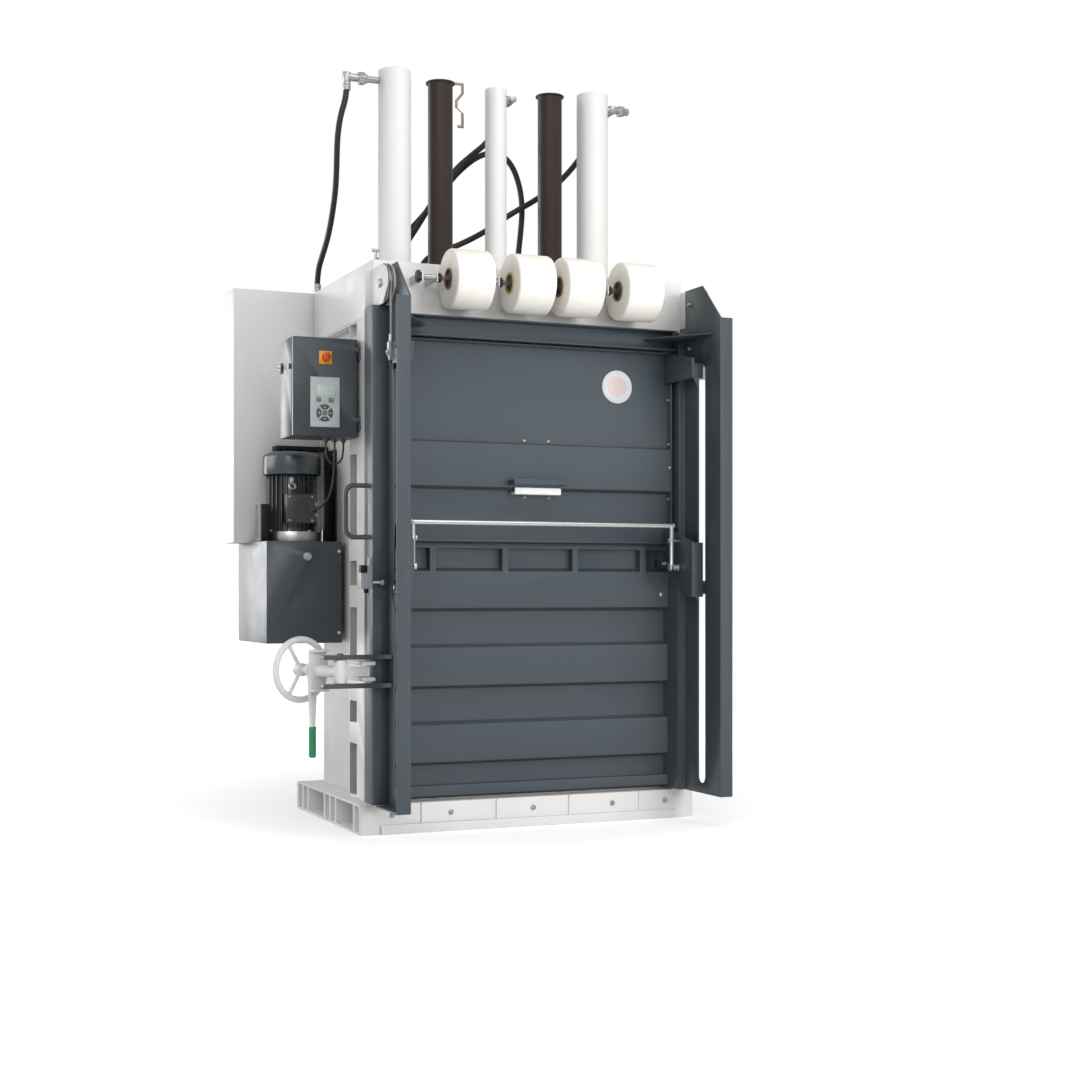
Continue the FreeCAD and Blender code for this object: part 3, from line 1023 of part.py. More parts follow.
# Free hoses: the corners of each route, chosen by hand, from one fitting to the other.
HOSE_RADIUS = 12
OUTER_HOSES = (
    ((-634, -50, 2915), (-634, -50, 2865), (-657, -40, 2785), (-662, -15, 2700), (-652, 25, 2615),
     (-641, 75, 2530), (-634, 140, 2450), (-629, 215, 2372), (-627, 292, 2316), (-628, 390, 2246),
     (-628, 390, 2165)),
    ((528, -10, 2934), (528, 62, 2934), (512, 124, 2880), (485, 128, 2810), (443, 112, 2748),
     (362, 98, 2658), (257, 92, 2571), (115, 90, 2487), (14, 90, 2410), (-124, 95, 2334),
     (-215, 105, 2306), (-275, 120, 2240), (-275, 120, 2175)),
)
INNER_HOSES = (
    ((72, -20, 2928), (72, 48, 2928), (62, 110, 2882), (38, 118, 2795), (-50, 100, 2722),
     (-124, 96, 2655), (-222, 96, 2515), (-290, 102, 2400), (-345, 114, 2315), (-400, 130, 2240),
     (-400, 130, 2175)),
    ((-455, 150, 2175), (-455, 150, 2240), (-405, 147, 2305), (-318, 144, 2383), (-225, 140, 2488),
     (-131, 138, 2616), (-67, 138, 2684), (3, 140, 2738), (83, 142, 2762), (150, 143, 2717),
     (188, 145, 2625), (200, 146, 2535), (191, 140, 2440), (172, 125, 2330), (160, 112, 2245),
     (160, 112, 2175)),
)
CABLE_RADIUS = 4
# Cables: the corners count from the lower front left corner of the control box.
CABLES = (
    ((150, 60, -16), (150, 60, -65), (168, 60, -97), (202, 60, -97), (220, 60, -65), (220, 60, -16)),
    ((185, 60, -16), (185, 60, -72), (191, 97, -152), (201, 182, -222), (178, 272, -267),
     (178, 352, -267)),
)


def route_wire(points):
    """Straight runs joined by tangent arcs, each as large as its two runs allow."""
    points = [FreeCAD.Vector(*point) for point in points]
    edges = []
    start = points[0]
    radii = []
    for before, corner, after in zip(points, points[1:], points[2:]):
        back = (before - corner).normalize()
        ahead = (after - corner).normalize()
        half = (math.pi - back.getAngle(ahead)) / 2
        reach = 0.45 * min(before.distanceToPoint(corner), corner.distanceToPoint(after))
        radius = reach / math.tan(half)
        radii.append(radius)
        first = corner + back * reach
        last = corner + ahead * reach
        middle_line = (back + ahead).normalize()
        middle = corner + middle_line * (radius / math.cos(half) - radius)
        edges.append(Part.LineSegment(start, first).toShape())
        edges.append(Part.Arc(first, middle, last).toShape())
        start = last
    edges.append(Part.LineSegment(start, points[-1]).toShape())
    return Part.Wire(edges), min(radii)


def cord(name, points, radius):
    wire, least = route_wire(points)
    heading = FreeCAD.Vector(*points[1]) - FreeCAD.Vector(*points[0])
    circle = Part.Wire(Part.Circle(FreeCAD.Vector(*points[0]), heading, radius).toShape())
    tube = wire.makePipeShell([circle], True, False)
    expected = wire.Length * math.pi * radius ** 2
    print(f"{name}: length {wire.Length:.0f}, least radius {least:.0f}, "
          f"volume ratio {tube.Volume / expected:.4f}")
    return tube


def cord_group(label, routes, radius, start=(0, 0, 0)):
    feature = doc.addObject("Part::Feature", label)
    tubes = [cord(f"{label} {index + 1}", route, radius) for index, route in enumerate(routes)]
    feature.Shape = Part.makeCompound(tubes)
    node(move(feature, *start))


def fittings():
    """Screwed hose ends on the cylinders, the crosshead and the rear cover."""
    level = "total_height - 45"
    left = fuse("left_fitting",
                rod("X", 13, ("-cylinder_offset - cylinder_radius - 60", "ram_line", level), 62),
                rod("X", 22, ("-cylinder_offset - cylinder_radius - 88", "ram_line", level), 30),
                rod("X", 15, (-634, "ram_line", level), 49),
                rod("Z", 16, (-634, "ram_line", 2915), 43))
    right = fuse("right_fitting",
                 rod("X", 13, ("cylinder_offset + cylinder_radius - 2", "ram_line", 2934), 104),
                 rod("X", 19, ("cylinder_offset + cylinder_radius + 52", "ram_line", 2934), 30),
                 rod("Y", 16, (528, "ram_line - 18", 2934), 58))
    slim = fuse("slim_fitting",
                rod("X", 11, ("slim_radius - 2", "ram_line", 2928), 30),
                rod("Y", 14, (72, "ram_line - 16", 2928), 46))
    feet = []
    for x, y in ((-275, 120), (-400, 130), (-455, 150), (160, 112)):
        feet.append(rod("Z", 16, (x, y, "head_top"), 25))
    feet.append(rod("Z", 16, (-628, 390, "head_top"), 15))
    drilled = cut("fitting_bodies", fuse("fitting_solids", left, right, slim), *fitting_clearance())
    node(group("cylinder_fittings", drilled, *feet))


def fitting_clearance():
    """The barrels' outer faces, which the screwed ends stop at."""
    return [rod("Z", radius, (x, "ram_line", 2700), 400)
            for x, radius in (("-cylinder_offset", "cylinder_radius"),
                              ("cylinder_offset", "cylinder_radius"), (0, "slim_radius"))]


base_frame()
chamber()
crosshead()
cylinders()
ram()
front_door()
balance()
loading_door()
rollers()
bail_bar()
lock()
limit_switch()
strap_rolls()
hydraulics()
control_box()
fasteners()
fittings()
cord_group("outer_hoses", OUTER_HOSES, HOSE_RADIUS)
cord_group("inner_hoses", INNER_HOSES, HOSE_RADIUS)
cord_group("cables", CABLES, CABLE_RADIUS, ("box_left", "box_front", "box_bottom"))
doc.recompute()

for item in doc.Objects:
    if "Invalid" in item.State or "Error" in item.State:
        raise RuntimeError(f"{item.Label} failed: {item.State}")
for label, item in nodes.items():
    if item.Shape.isNull() or not item.Shape.isValid() or not item.Shape.Solids:
        raise RuntimeError(f"{label} has no valid solid")
for label, item in nodes.items():
    item.Shape.exportStep(f"parts/{label}.step")
print(len(nodes), "nodes written")
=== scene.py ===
"""Dresses the upright baling press: rounded sheet metal, paint, ropes, hoses, bolts and controls."""

import json
from math import cos, hypot, pi, radians, sin

import bmesh
import bpy
from bpy.props import FloatProperty, FloatVectorProperty, IntProperty, PointerProperty
from bpy.types import NodeSocket, Operator, Panel, PropertyGroup, Scene
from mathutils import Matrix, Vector

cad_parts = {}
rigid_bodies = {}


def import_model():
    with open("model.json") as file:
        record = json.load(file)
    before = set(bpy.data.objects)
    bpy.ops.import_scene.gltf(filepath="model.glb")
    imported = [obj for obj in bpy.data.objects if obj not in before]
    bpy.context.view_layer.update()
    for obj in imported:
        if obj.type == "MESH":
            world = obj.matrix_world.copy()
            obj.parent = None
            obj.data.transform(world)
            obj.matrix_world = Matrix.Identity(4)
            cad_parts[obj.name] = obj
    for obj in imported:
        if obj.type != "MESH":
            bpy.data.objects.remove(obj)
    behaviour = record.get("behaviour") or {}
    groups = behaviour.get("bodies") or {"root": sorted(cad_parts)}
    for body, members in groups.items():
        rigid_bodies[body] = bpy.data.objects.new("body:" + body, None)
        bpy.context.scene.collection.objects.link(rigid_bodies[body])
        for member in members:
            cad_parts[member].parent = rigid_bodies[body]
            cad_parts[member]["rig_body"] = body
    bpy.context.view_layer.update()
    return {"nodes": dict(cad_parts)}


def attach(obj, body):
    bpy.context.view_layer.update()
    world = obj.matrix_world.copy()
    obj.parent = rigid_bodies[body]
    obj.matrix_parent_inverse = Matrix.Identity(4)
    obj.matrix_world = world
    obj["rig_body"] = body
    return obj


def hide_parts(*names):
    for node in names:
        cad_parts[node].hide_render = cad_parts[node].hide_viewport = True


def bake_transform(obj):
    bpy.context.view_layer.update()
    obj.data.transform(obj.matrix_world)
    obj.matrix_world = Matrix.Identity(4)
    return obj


bl_info = {
    "name": "Baling press dresser",
    "version": (1, 0, 0),
    "blender": (4, 5, 0),
    "location": "3D View > Sidebar > Press",
    "description": "Finishes the pieces of an upright baling press",
    "category": "Object",
}

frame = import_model()
CAD = frame["nodes"]
BODY_OF = {name: piece["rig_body"] for name, piece in CAD.items()}

RIGHT, FRONT, UP, DOWN = (1, 0, 0), (0, -1, 0), (0, 0, 1), (0, 0, -1)
# Rounding of folded sheet, in edge roundings.
FOLD = 1.6

# The camera stands to the left of the front, level, at about a person's chest.
CAMERA_PLACE = (-2.6083, -6.5586, 0.923)
CAMERA_TURN = radians(-23.3168)
CAMERA_LENS = 57.1
CAMERA_SHIFT = 0.0444
# Area lamps: place, target, size in metres, power in watts, and the rays that don't meet them.
LAMPS = (
    ("key", (-3.0, -6.2, 4.2), (0, 0, 1.2), 4.0, 135, ()),
    ("fill", (2.8, -6.2, 2.6), (0, 0, 1.3), 3.6, 130, ("glossy",)),
    ("top", (0.9, -3.2, 5.4), (0, 0, 1.3), 2.8, 60, ()),
    ("header", (1.5, -4.6, 1.9), (0.3, -0.5, 2.05), 1.6, 55, ("glossy",)),
    ("left", (-5.5, 1.5, 3.0), (0, 0, 1.3), 3.5, 95, ()),
    ("back left", (-3.2, 4.6, 1.7), (-0.8, 0, 1.2), 3.4, 150, ("diffuse",)),
)
# Strength of the white surroundings to the camera, in reflections and as light.
WORLD_SEEN, WORLD_MIRRORED, WORLD_LIGHT = 1.0, 0.6, 0.34
# The floor's glow rises from one strength to the other between two distances from the middle.
GLOW, GLOW_SPAN = (0.36, 0.80), (0.9, 3.2)
FLOOR_REACH = 30

# The lock's spindle runs level, to the left and back, from the swivel's upright pin.
LOCK_PIN = Vector((-0.822, -0.590, 0.620))
SPINDLE_TURN = radians(110.7)
SPINDLE_LINE = Vector((cos(SPINDLE_TURN), sin(SPINDLE_TURN), 0))
# The strap rolls: depth and height of their rod, its radius, each roll's left end, and their width.
ROLL_AXIS = (-0.560, 2.076)
ROLL_ROD = 0.0115
ROLL_LEFTS = (-0.396, -0.150, 0.054, 0.305)
ROLL_WIDTH = 0.152
# The posts' windows: distance of their floors from the middle, and the heights of each.
# The window floors and the sheets inside the windows are painted shade.
WINDOW_FLOOR = 0.612
WINDOWS = ((0.125, 0.323), (0.405, 0.487), (0.656, 0.848), (0.934, 1.028), (1.110, 1.440))
# Bare metal: how far out the roller pins start, the back of the tank's lock, the motor's flange.
PIN_START = 0.6195
TANK_LOCK_BACK = 0.0395
FLANGE = (1.107, 1.1508)
COWL_FOOT = (-0.778, 0.240, 1.381)
# The ropes hang this far from the middle, and leave the pulleys at this height.
ROPE_OUT, ROPE_TOP = 0.650, 2.035


class PressSizes(PropertyGroup):
    edge: FloatProperty(
        name="Edge rounding", description="Rounding of cut sheet edges",
        default=0.0012, min=0.0002, max=0.004, unit="LENGTH")
    heavy_edge: FloatProperty(
        name="Folded edge rounding", description="Rounding of folds and castings",
        default=0.003, min=0.0005, max=0.008, unit="LENGTH")
    hose: FloatProperty(
        name="Hose thickness", description="Outside diameter of the oil hoses",
        default=0.024, min=0.01, max=0.04, unit="LENGTH")
    cable: FloatProperty(
        name="Cable thickness", description="Outside diameter of the cables",
        default=0.008, min=0.004, max=0.02, unit="LENGTH")
    rope: FloatProperty(
        name="Rope thickness", description="Outside diameter of the wire ropes",
        default=0.008, min=0.004, max=0.02, unit="LENGTH")
    rope_lay: FloatProperty(
        name="Rope lay", description="Length of one turn of a strand",
        default=0.046, min=0.02, max=0.2, unit="LENGTH")
    bolt: FloatProperty(
        name="Bolt head", description="Corner radius of the hexagon heads",
        default=0.009, min=0.003, max=0.02, unit="LENGTH")
    knob_lobes: IntProperty(
        name="Knob lobes", description="Lobes of a star knob", default=7, min=5, max=12)


class PressColours(PropertyGroup):
    dark: FloatVectorProperty(
        name="Dark paint", description="Front, guards and housings",
        default=(0.046, 0.060, 0.072), subtype="COLOR", min=0, max=1)
    white: FloatVectorProperty(
        name="White paint", description="Press frame and cylinders",
        default=(0.72, 0.71, 0.695), subtype="COLOR", min=0, max=1)
    brown: FloatVectorProperty(
        name="Tube paint", description="Guide tubes of the ram",
        default=(0.030, 0.020, 0.015), subtype="COLOR", min=0, max=1)
    motor: FloatVectorProperty(
        name="Motor paint", description="Finned motor body",
        default=(0.026, 0.032, 0.036), subtype="COLOR", min=0, max=1)
    strap: FloatVectorProperty(
        name="Strap", description="Wound strap of the rolls",
        default=(0.88, 0.85, 0.79), subtype="COLOR", min=0, max=1)
    grip: FloatVectorProperty(
        name="Grip", description="Plastic sleeve of the lock lever",
        default=(0.02, 0.24, 0.10), subtype="COLOR", min=0, max=1)
    plate: FloatVectorProperty(
        name="Switch plate", description="Plate behind the main switch",
        default=(0.92, 0.40, 0.03), subtype="COLOR", min=0, max=1)


# ---- finishes

FINISHES = {}
# The finish that a slot has where a piece names no other.
USUAL = {"white_paint": "white_coat", "dark_paint": "dark_coat", "black_paint": "black_coat",
         "grey_paint": "motor_coat", "brown_paint": "tube_coat", "zinc": "zinc_plate",
         "chrome": "rod_chrome", "nylon": "nylon_wheel", "steel": "dull_steel",
         "fan_plastic": "black_plastic"}


class Wiring:
    """Adds nodes to a node tree and links them."""

    def __init__(self, tree):
        self.tree = tree

    def feed(self, socket, value):
        if isinstance(value, NodeSocket):
            self.tree.links.new(value, socket)
        else:
            socket.default_value = value

    def add(self, kind, **inputs):
        node = self.tree.nodes.new(kind)
        for name, value in inputs.items():
            self.feed(node.inputs[name.replace("_", " ")], value)
        return node

    def maths(self, operation, first, second=0.0):
        node = self.tree.nodes.new("ShaderNodeMath")
        node.operation = operation
        self.feed(node.inputs[0], first)
        self.feed(node.inputs[1], second)
        return node.outputs[0]

    def spread(self, value, low, high, start=0.3, end=0.7):
        """Runs from low to high while the value runs from start to end."""
        return self.add("ShaderNodeMapRange", Value=value, From_Min=start, From_Max=end,
                        To_Min=low, To_Max=high).outputs["Result"]


class Finish(Wiring):
    """A material under construction: its shader and the nodes that feed it."""

    def __init__(self, name, colour, roughness, metallic=0.0):
        material = bpy.data.materials.new(name)
        material.use_nodes = True
        super().__init__(material.node_tree)
        self.shader = self.tree.nodes["Principled BSDF"]
        for socket, value in (("Base Color", (*colour, 1)), ("Roughness", roughness),
                              ("Metallic", metallic)):
            self.link(value, socket)
        self.place = self.tree.nodes.new("ShaderNodeTexCoord").outputs["Object"]
        FINISHES[name] = material

    def link(self, value, name):
        self.feed(self.shader.inputs[name], value)

    def noise(self, scale, detail):
        node = self.add("ShaderNodeTexNoise", Vector=self.place, Scale=scale, Detail=detail)
        return node.outputs["Fac"]

    def mottle(self, factor, dark, light):
        """Runs the colour between two shades."""
        node = self.tree.nodes.new("ShaderNodeMix")
        node.data_type = "RGBA"
        node.inputs[6].default_value = (*dark, 1)
        node.inputs[7].default_value = (*light, 1)
        self.feed(node.inputs[0], factor)
        self.link(node.outputs[2], "Base Color")

    def relief(self, height, strength, distance):
        node = self.add("ShaderNodeBump", Height=height, Strength=strength, Distance=distance)
        self.link(node.outputs["Normal"], "Normal")

    def surface(self, colour, variation, cloud, roughness, wear, grain):
        """Clouds the colour and varies the gloss by (scale, detail) noise, over a fine relief."""
        self.mottle(self.spread(self.noise(*cloud), 0, 1), shade(colour, 1 - variation),
                    shade(colour, 1 + variation))
        scale, detail, glossier, rougher = wear
        self.link(self.spread(self.noise(scale, detail), roughness - glossier,
                              roughness + rougher), "Roughness")
        scale, strength, distance = grain
        self.relief(self.noise(scale, 2), strength, distance)


def shade(colour, factor):
    return tuple(min(1.0, part * factor) for part in colour)


def powder_coat(name, colour, roughness, variation=0.05, gloss=0.5):
    """Powder coat: fine orange peel, faint cloudiness and a little rubbed gloss."""
    finish = Finish(name, colour, roughness)
    finish.link(gloss, "Specular IOR Level")
    finish.surface(colour, variation, (2.2, 5), roughness, (9.0, 4, 0.05, 0.07),
                   (420.0, 0.16, 0.0006))


def bright_metal(name, colour, roughness, patches=0.12, scale=70.0):
    """Plated or bare steel with cloudy patches and a fine grain."""
    finish = Finish(name, colour, roughness, metallic=1.0)
    finish.surface(colour, patches, (scale, 4), roughness, (scale * 2, 3, 0.06, 0.12),
                   (scale * 9, 0.1, 0.0003))


def moulded(name, colour, roughness):
    """Moulded plastic or rubber with a fine skin."""
    finish = Finish(name, colour, roughness)
    finish.surface(colour, 0.08, (14.0, 3), roughness, (30.0, 3, 0.05, 0.08),
                   (600.0, 0.12, 0.0003))
    return finish


def wound_strap(name, colour):
    """Strap wound on a reel: rings on the ends, and the edges of the turns on the outside."""
    finish = Finish(name, colour, 0.62)
    centre = finish.add("ShaderNodeMapping", Vector=finish.place,
                        Location=(0, -ROLL_AXIS[0], -ROLL_AXIS[1]))
    at = finish.add("ShaderNodeSeparateXYZ", Vector=centre.outputs[0]).outputs
    squares = [finish.maths("MULTIPLY", at[part], at[part]) for part in "YZ"]
    radius = finish.maths("SQRT", finish.maths("ADD", *squares))
    turns, bands = [finish.maths("MULTIPLY", finish.maths("SINE", finish.maths("MULTIPLY", *wave)), 0.5)
                    for wave in ((radius, 2400.0), (at["X"], 1100.0))]
    ripple = finish.maths("ADD", turns, bands)
    tone = finish.maths("ADD", finish.spread(ripple, 0.35, 0.65, -1, 1),
                        finish.spread(finish.noise(22.0, 4), -0.3, 0.3))
    finish.mottle(tone, shade(colour, 0.94), shade(colour, 1.03))
    finish.relief(ripple, 0.22, 0.0004)


def make_finishes(colours):
    powder_coat("dark_coat", colours.dark, 0.38, gloss=0.7)
    powder_coat("housing_coat", shade(colours.dark, 0.85), 0.38, gloss=0.6)
    powder_coat("white_coat", colours.white, 0.40, 0.02)
    powder_coat("tube_coat", colours.brown, 0.42, 0.12, 0.35)
    powder_coat("motor_coat", colours.motor, 0.28, 0.08, 0.9)
    powder_coat("cowl_coat", shade(colours.dark, 0.9), 0.22, 0.08, 1.0)
    powder_coat("black_coat", (0.008, 0.008, 0.009), 0.5, 0.1, 0.3)
    # Painted shade: the white paint darkened for the shade inside the posts' windows.
    powder_coat("deep_coat", shade(colours.white, 0.52), 0.55, 0.05, 0.3)
    powder_coat("block_coat", (0.88, 0.88, 0.87), 0.45, 0.02)
    bright_metal("zinc_plate", (0.47, 0.47, 0.46), 0.38)
    bright_metal("bright_bar", (0.74, 0.74, 0.73), 0.34, patches=0.03)
    bright_metal("dull_steel", (0.33, 0.33, 0.34), 0.42)
    bright_metal("rope_wire", (0.42, 0.42, 0.43), 0.44, scale=300.0)
    bright_metal("rod_chrome", (0.78, 0.78, 0.79), 0.12, patches=0.03)
    bright_metal("cast_iron", (0.16, 0.16, 0.16), 0.62, patches=0.2)
    moulded("hose_cover", (0.012, 0.012, 0.013), 0.50)
    moulded("cable_cover", (0.02, 0.02, 0.022), 0.45)
    moulded("nylon_wheel", (0.62, 0.61, 0.57), 0.42)
    moulded("black_plastic", (0.014, 0.014, 0.015), 0.38)
    moulded("grip_sleeve", colours.grip, 0.36)
    moulded("switch_plate", colours.plate, 0.34)
    moulded("switch_red", (0.66, 0.075, 0.012), 0.30)
    moulded("keypad_foil", (0.56, 0.58, 0.585), 0.48)
    moulded("key_grey", (0.09, 0.10, 0.11), 0.40)
    moulded("key_green", (0.075, 0.105, 0.09), 0.36)
    moulded("key_red", (0.11, 0.085, 0.085), 0.36)
    moulded("core_board", (0.24, 0.13, 0.06), 0.75)
    moulded("core_yellow", (0.42, 0.40, 0.06), 0.6)
    moulded("case_grey", (0.30, 0.33, 0.35), 0.4)
    moulded("badge_disc", (0.56, 0.58, 0.61), 0.45)
    moulded("badge_field", (0.60, 0.49, 0.49), 0.45)
    bright_metal("cast_alloy", (0.62, 0.62, 0.62), 0.34, patches=0.08)
    bright_metal("brown_steel", (0.26, 0.235, 0.215), 0.40)
    moulded("screen_glass", (0.58, 0.70, 0.62), 0.2).link(0.6, "Coat Weight")
    wound_strap("strap_winding", colours.strap)


# ---- making pieces

# Faces narrower than these are shaded smooth, the wider figure beside an edge that turns gently.
NARROW_FACE, CURVED_FACE = 0.0035, 0.03
LEAST_TURN, GENTLE_TURN = radians(0.3), radians(15)
HOOP_STEPS = 32


def finish_mesh(mesh, angle):
    """Curved faces and narrow roundings are shaded smooth, broad flat faces stay flat."""
    made = bmesh.new()
    made.from_mesh(mesh)
    for face in made.faces:
        turns = [edge.calc_face_angle(pi) for edge in face.edges]
        nearest = min([turn for turn in turns if turn > LEAST_TURN], default=pi)
        breadth = 2 * face.calc_area() / max(face.calc_perimeter(), 1e-9)
        face.smooth = breadth < (CURVED_FACE if nearest < GENTLE_TURN else NARROW_FACE)
    made.to_mesh(mesh)
    made.free()
    mesh.set_sharp_from_angle(angle=radians(angle))


def placed(name, data):
    """A new object in the scene."""
    item = bpy.data.objects.new(name, data)
    bpy.context.scene.collection.objects.link(item)
    return item


def mount_piece(name, mesh, body, slot, materials=None, replaced=(), angle=48):
    """Puts a mesh into the scene as a piece that rides on a body."""
    mesh.name = name
    parts = [face.material_index for face in mesh.polygons]
    mesh.materials.clear()
    for material in materials or [USUAL.get(slot, slot)]:
        mesh.materials.append(FINISHES[material])
    mesh.polygons.foreach_set("material_index", parts)
    finish_mesh(mesh, angle)
    piece = placed(name, mesh)
    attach(piece, body)
    if replaced:
        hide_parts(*replaced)
    return piece


def mount_made(made, edge, name, body, slot, materials=None, replaced=(), segments=2):
    """Mounts a piece that was built here, with its edges rounded."""
    return mount_piece(name, rounded(settled(made), edge, segments), body, slot, materials, replaced)


def baked(holder):
    """The evaluated mesh of an object, which is then removed."""
    bpy.context.view_layer.update()
    graph = bpy.context.evaluated_depsgraph_get()
    mesh = bpy.data.meshes.new_from_object(holder.evaluated_get(graph))
    bpy.data.objects.remove(holder)
    return mesh


def rounded(mesh, width, segments=2):
    """The mesh with its sharper edges bevelled."""
    bench = placed("bench", mesh)
    bevel = bench.modifiers.new("bevel", "BEVEL")
    bevel.width, bevel.segments = width, segments
    bevel.limit_method, bevel.angle_limit = "ANGLE", radians(38)
    bevel.use_clamp_overlap = bevel.harden_normals = False
    result = baked(bench)
    bpy.data.meshes.remove(mesh)
    return result


def cad_copy(node):
    """A joined-up copy of a CAD node's mesh, with its flat faces made whole."""
    made = bmesh.new()
    made.from_mesh(CAD[node].data)
    bmesh.ops.remove_doubles(made, verts=made.verts, dist=2e-6)
    bmesh.ops.dissolve_limit(made, angle_limit=radians(0.4), verts=made.verts[:],
                             edges=made.edges[:])
    return made


def to_mesh(made):
    mesh = bpy.data.meshes.new("piece")
    made.to_mesh(mesh)
    made.free()
    return mesh


def dress(node, slot, width, material=None, other=None, where=None):
    """A rounded copy of a CAD node takes its place; where() picks the faces of another material."""
    mesh = rounded(to_mesh(cad_copy(node)), width)
    materials = [material or USUAL.get(slot, slot)]
    if other:
        materials.append(other)
        for face in mesh.polygons:
            face.material_index = int(where(face.center))
    mount_piece(f"{node}_finished", mesh, BODY_OF[node], slot, materials, [node])


def dress_all(*rows):
    """Dresses nodes by rows: nodes, slot, rounding, and any unusual finishes."""
    for nodes, slot, width, *finishes in rows:
        for node in nodes.split():
            dress(node, slot, width, *finishes)


def widths(context):
    """The rounding of cut edges, of folded sheet and of castings."""
    sizes = context.scene.press_sizes
    return sizes.edge, sizes.edge * FOLD, sizes.heavy_edge


def frame_of(line):
    line = Vector(line).normalized()
    side = line.cross(Vector(UP))
    side = side.normalized() if side.length > 1e-4 else Vector(RIGHT)
    return line, side, line.cross(side)


def circle(side, up, radius, count):
    turns = [2 * pi * k / count for k in range(count)]
    return [(side * cos(turn) + up * sin(turn)) * radius for turn in turns]


def ring(made, centre, side, up, radius, count):
    return [made.verts.new(centre + point) for point in circle(side, up, radius, count)]


def bridge(made, low, high):
    """Faces between two rings of as many points."""
    return [made.faces.new(corners)
            for corners in zip(low, low[1:] + low[:1], high[1:] + high[:1], high)]


def turned(made, start, line, profile, count, material=0):
    """A turned piece: (distance along the line, radius) pairs from one end to the other."""
    line, side, up = frame_of(line)
    start = Vector(start)
    rings = []
    for along, radius in profile:
        centre = start + line * along
        rings.append([made.verts.new(centre)] if radius < 1e-7
                     else ring(made, centre, side, up, radius, count))
    for low, high in zip(rings, rings[1:]):
        for k in range(count):
            after = (k + 1) % count
            corners = [low[k % len(low)], low[after % len(low)],
                       high[after % len(high)], high[k % len(high)]]
            unique = list(dict.fromkeys(corners))
            if len(unique) > 2:
                made.faces.new(unique).material_index = material


def prism(made, outline, line, start, depth, material=0):
    """A closed outline of points, swept a depth along a line."""
    line = Vector(line).normalized() * depth
    low = [made.verts.new(Vector(start) + Vector(point)) for point in outline]
    high = [made.verts.new(vertex.co + line) for vertex in low]
    for face in [made.faces.new(low[::-1]), made.faces.new(high), *bridge(made, low, high)]:
        face.material_index = material


def block(made, low, high, material=0):
    x, y, z = low
    outline = [(x, y, z), (high[0], y, z), (high[0], high[1], z), (x, high[1], z)]
    prism(made, outline, UP, (0, 0, 0), high[2] - z, material)


def hexagon(made, place, line, radius, depth, material=0):
    """A hexagon nut or head from a place, in millimetres, along a line."""
    line, side, up = frame_of(line)
    prism(made, circle(side, up, radius, 6), line, Vector(place) / 1000, depth, material)


def pin(made, place, line, radius, length, material=0, count=24):
    """A round pin with chamfered ends, from a place in millimetres."""
    edge = min(radius * 0.2, 0.001)
    turned(made, Vector(place) / 1000, line,
           [(0, 0), (0, radius - edge), (edge, radius), (length - edge, radius),
            (length, radius - edge), (length, 0)], count, material)


def hoop(made, centre, line, radius, thickness, sides=10):
    """A closed round hoop about a centre in millimetres."""
    line, side, up = frame_of(line)
    centre = Vector(centre) / 1000
    rings = []
    for k in range(HOOP_STEPS):
        angle = 2 * pi * k / HOOP_STEPS
        outward = side * cos(angle) + up * sin(angle)
        turns = [2 * pi * j / sides for j in range(sides)]
        rings.append([made.verts.new(centre + outward * (radius + thickness * cos(turn))
                                     + line * thickness * sin(turn)) for turn in turns])
    for low, high in zip(rings, rings[1:] + rings[:1]):
        bridge(made, low, high)


def lobed(made, place, radius, depth, lobes):
    """A star knob on an axis along X, from a place in millimetres."""
    outline = []
    for k in range(lobes * 8):
        angle = 2 * pi * k / (lobes * 8)
        reach = radius * (1 + 0.14 * cos(lobes * angle))
        outline.append((0, reach * cos(angle), reach * sin(angle)))
    prism(made, outline, RIGHT, Vector(place) / 1000, depth)


def settled(made):
    bmesh.ops.recalc_face_normals(made, faces=made.faces)
    return to_mesh(made)


# ---- bolts, by geometry nodes

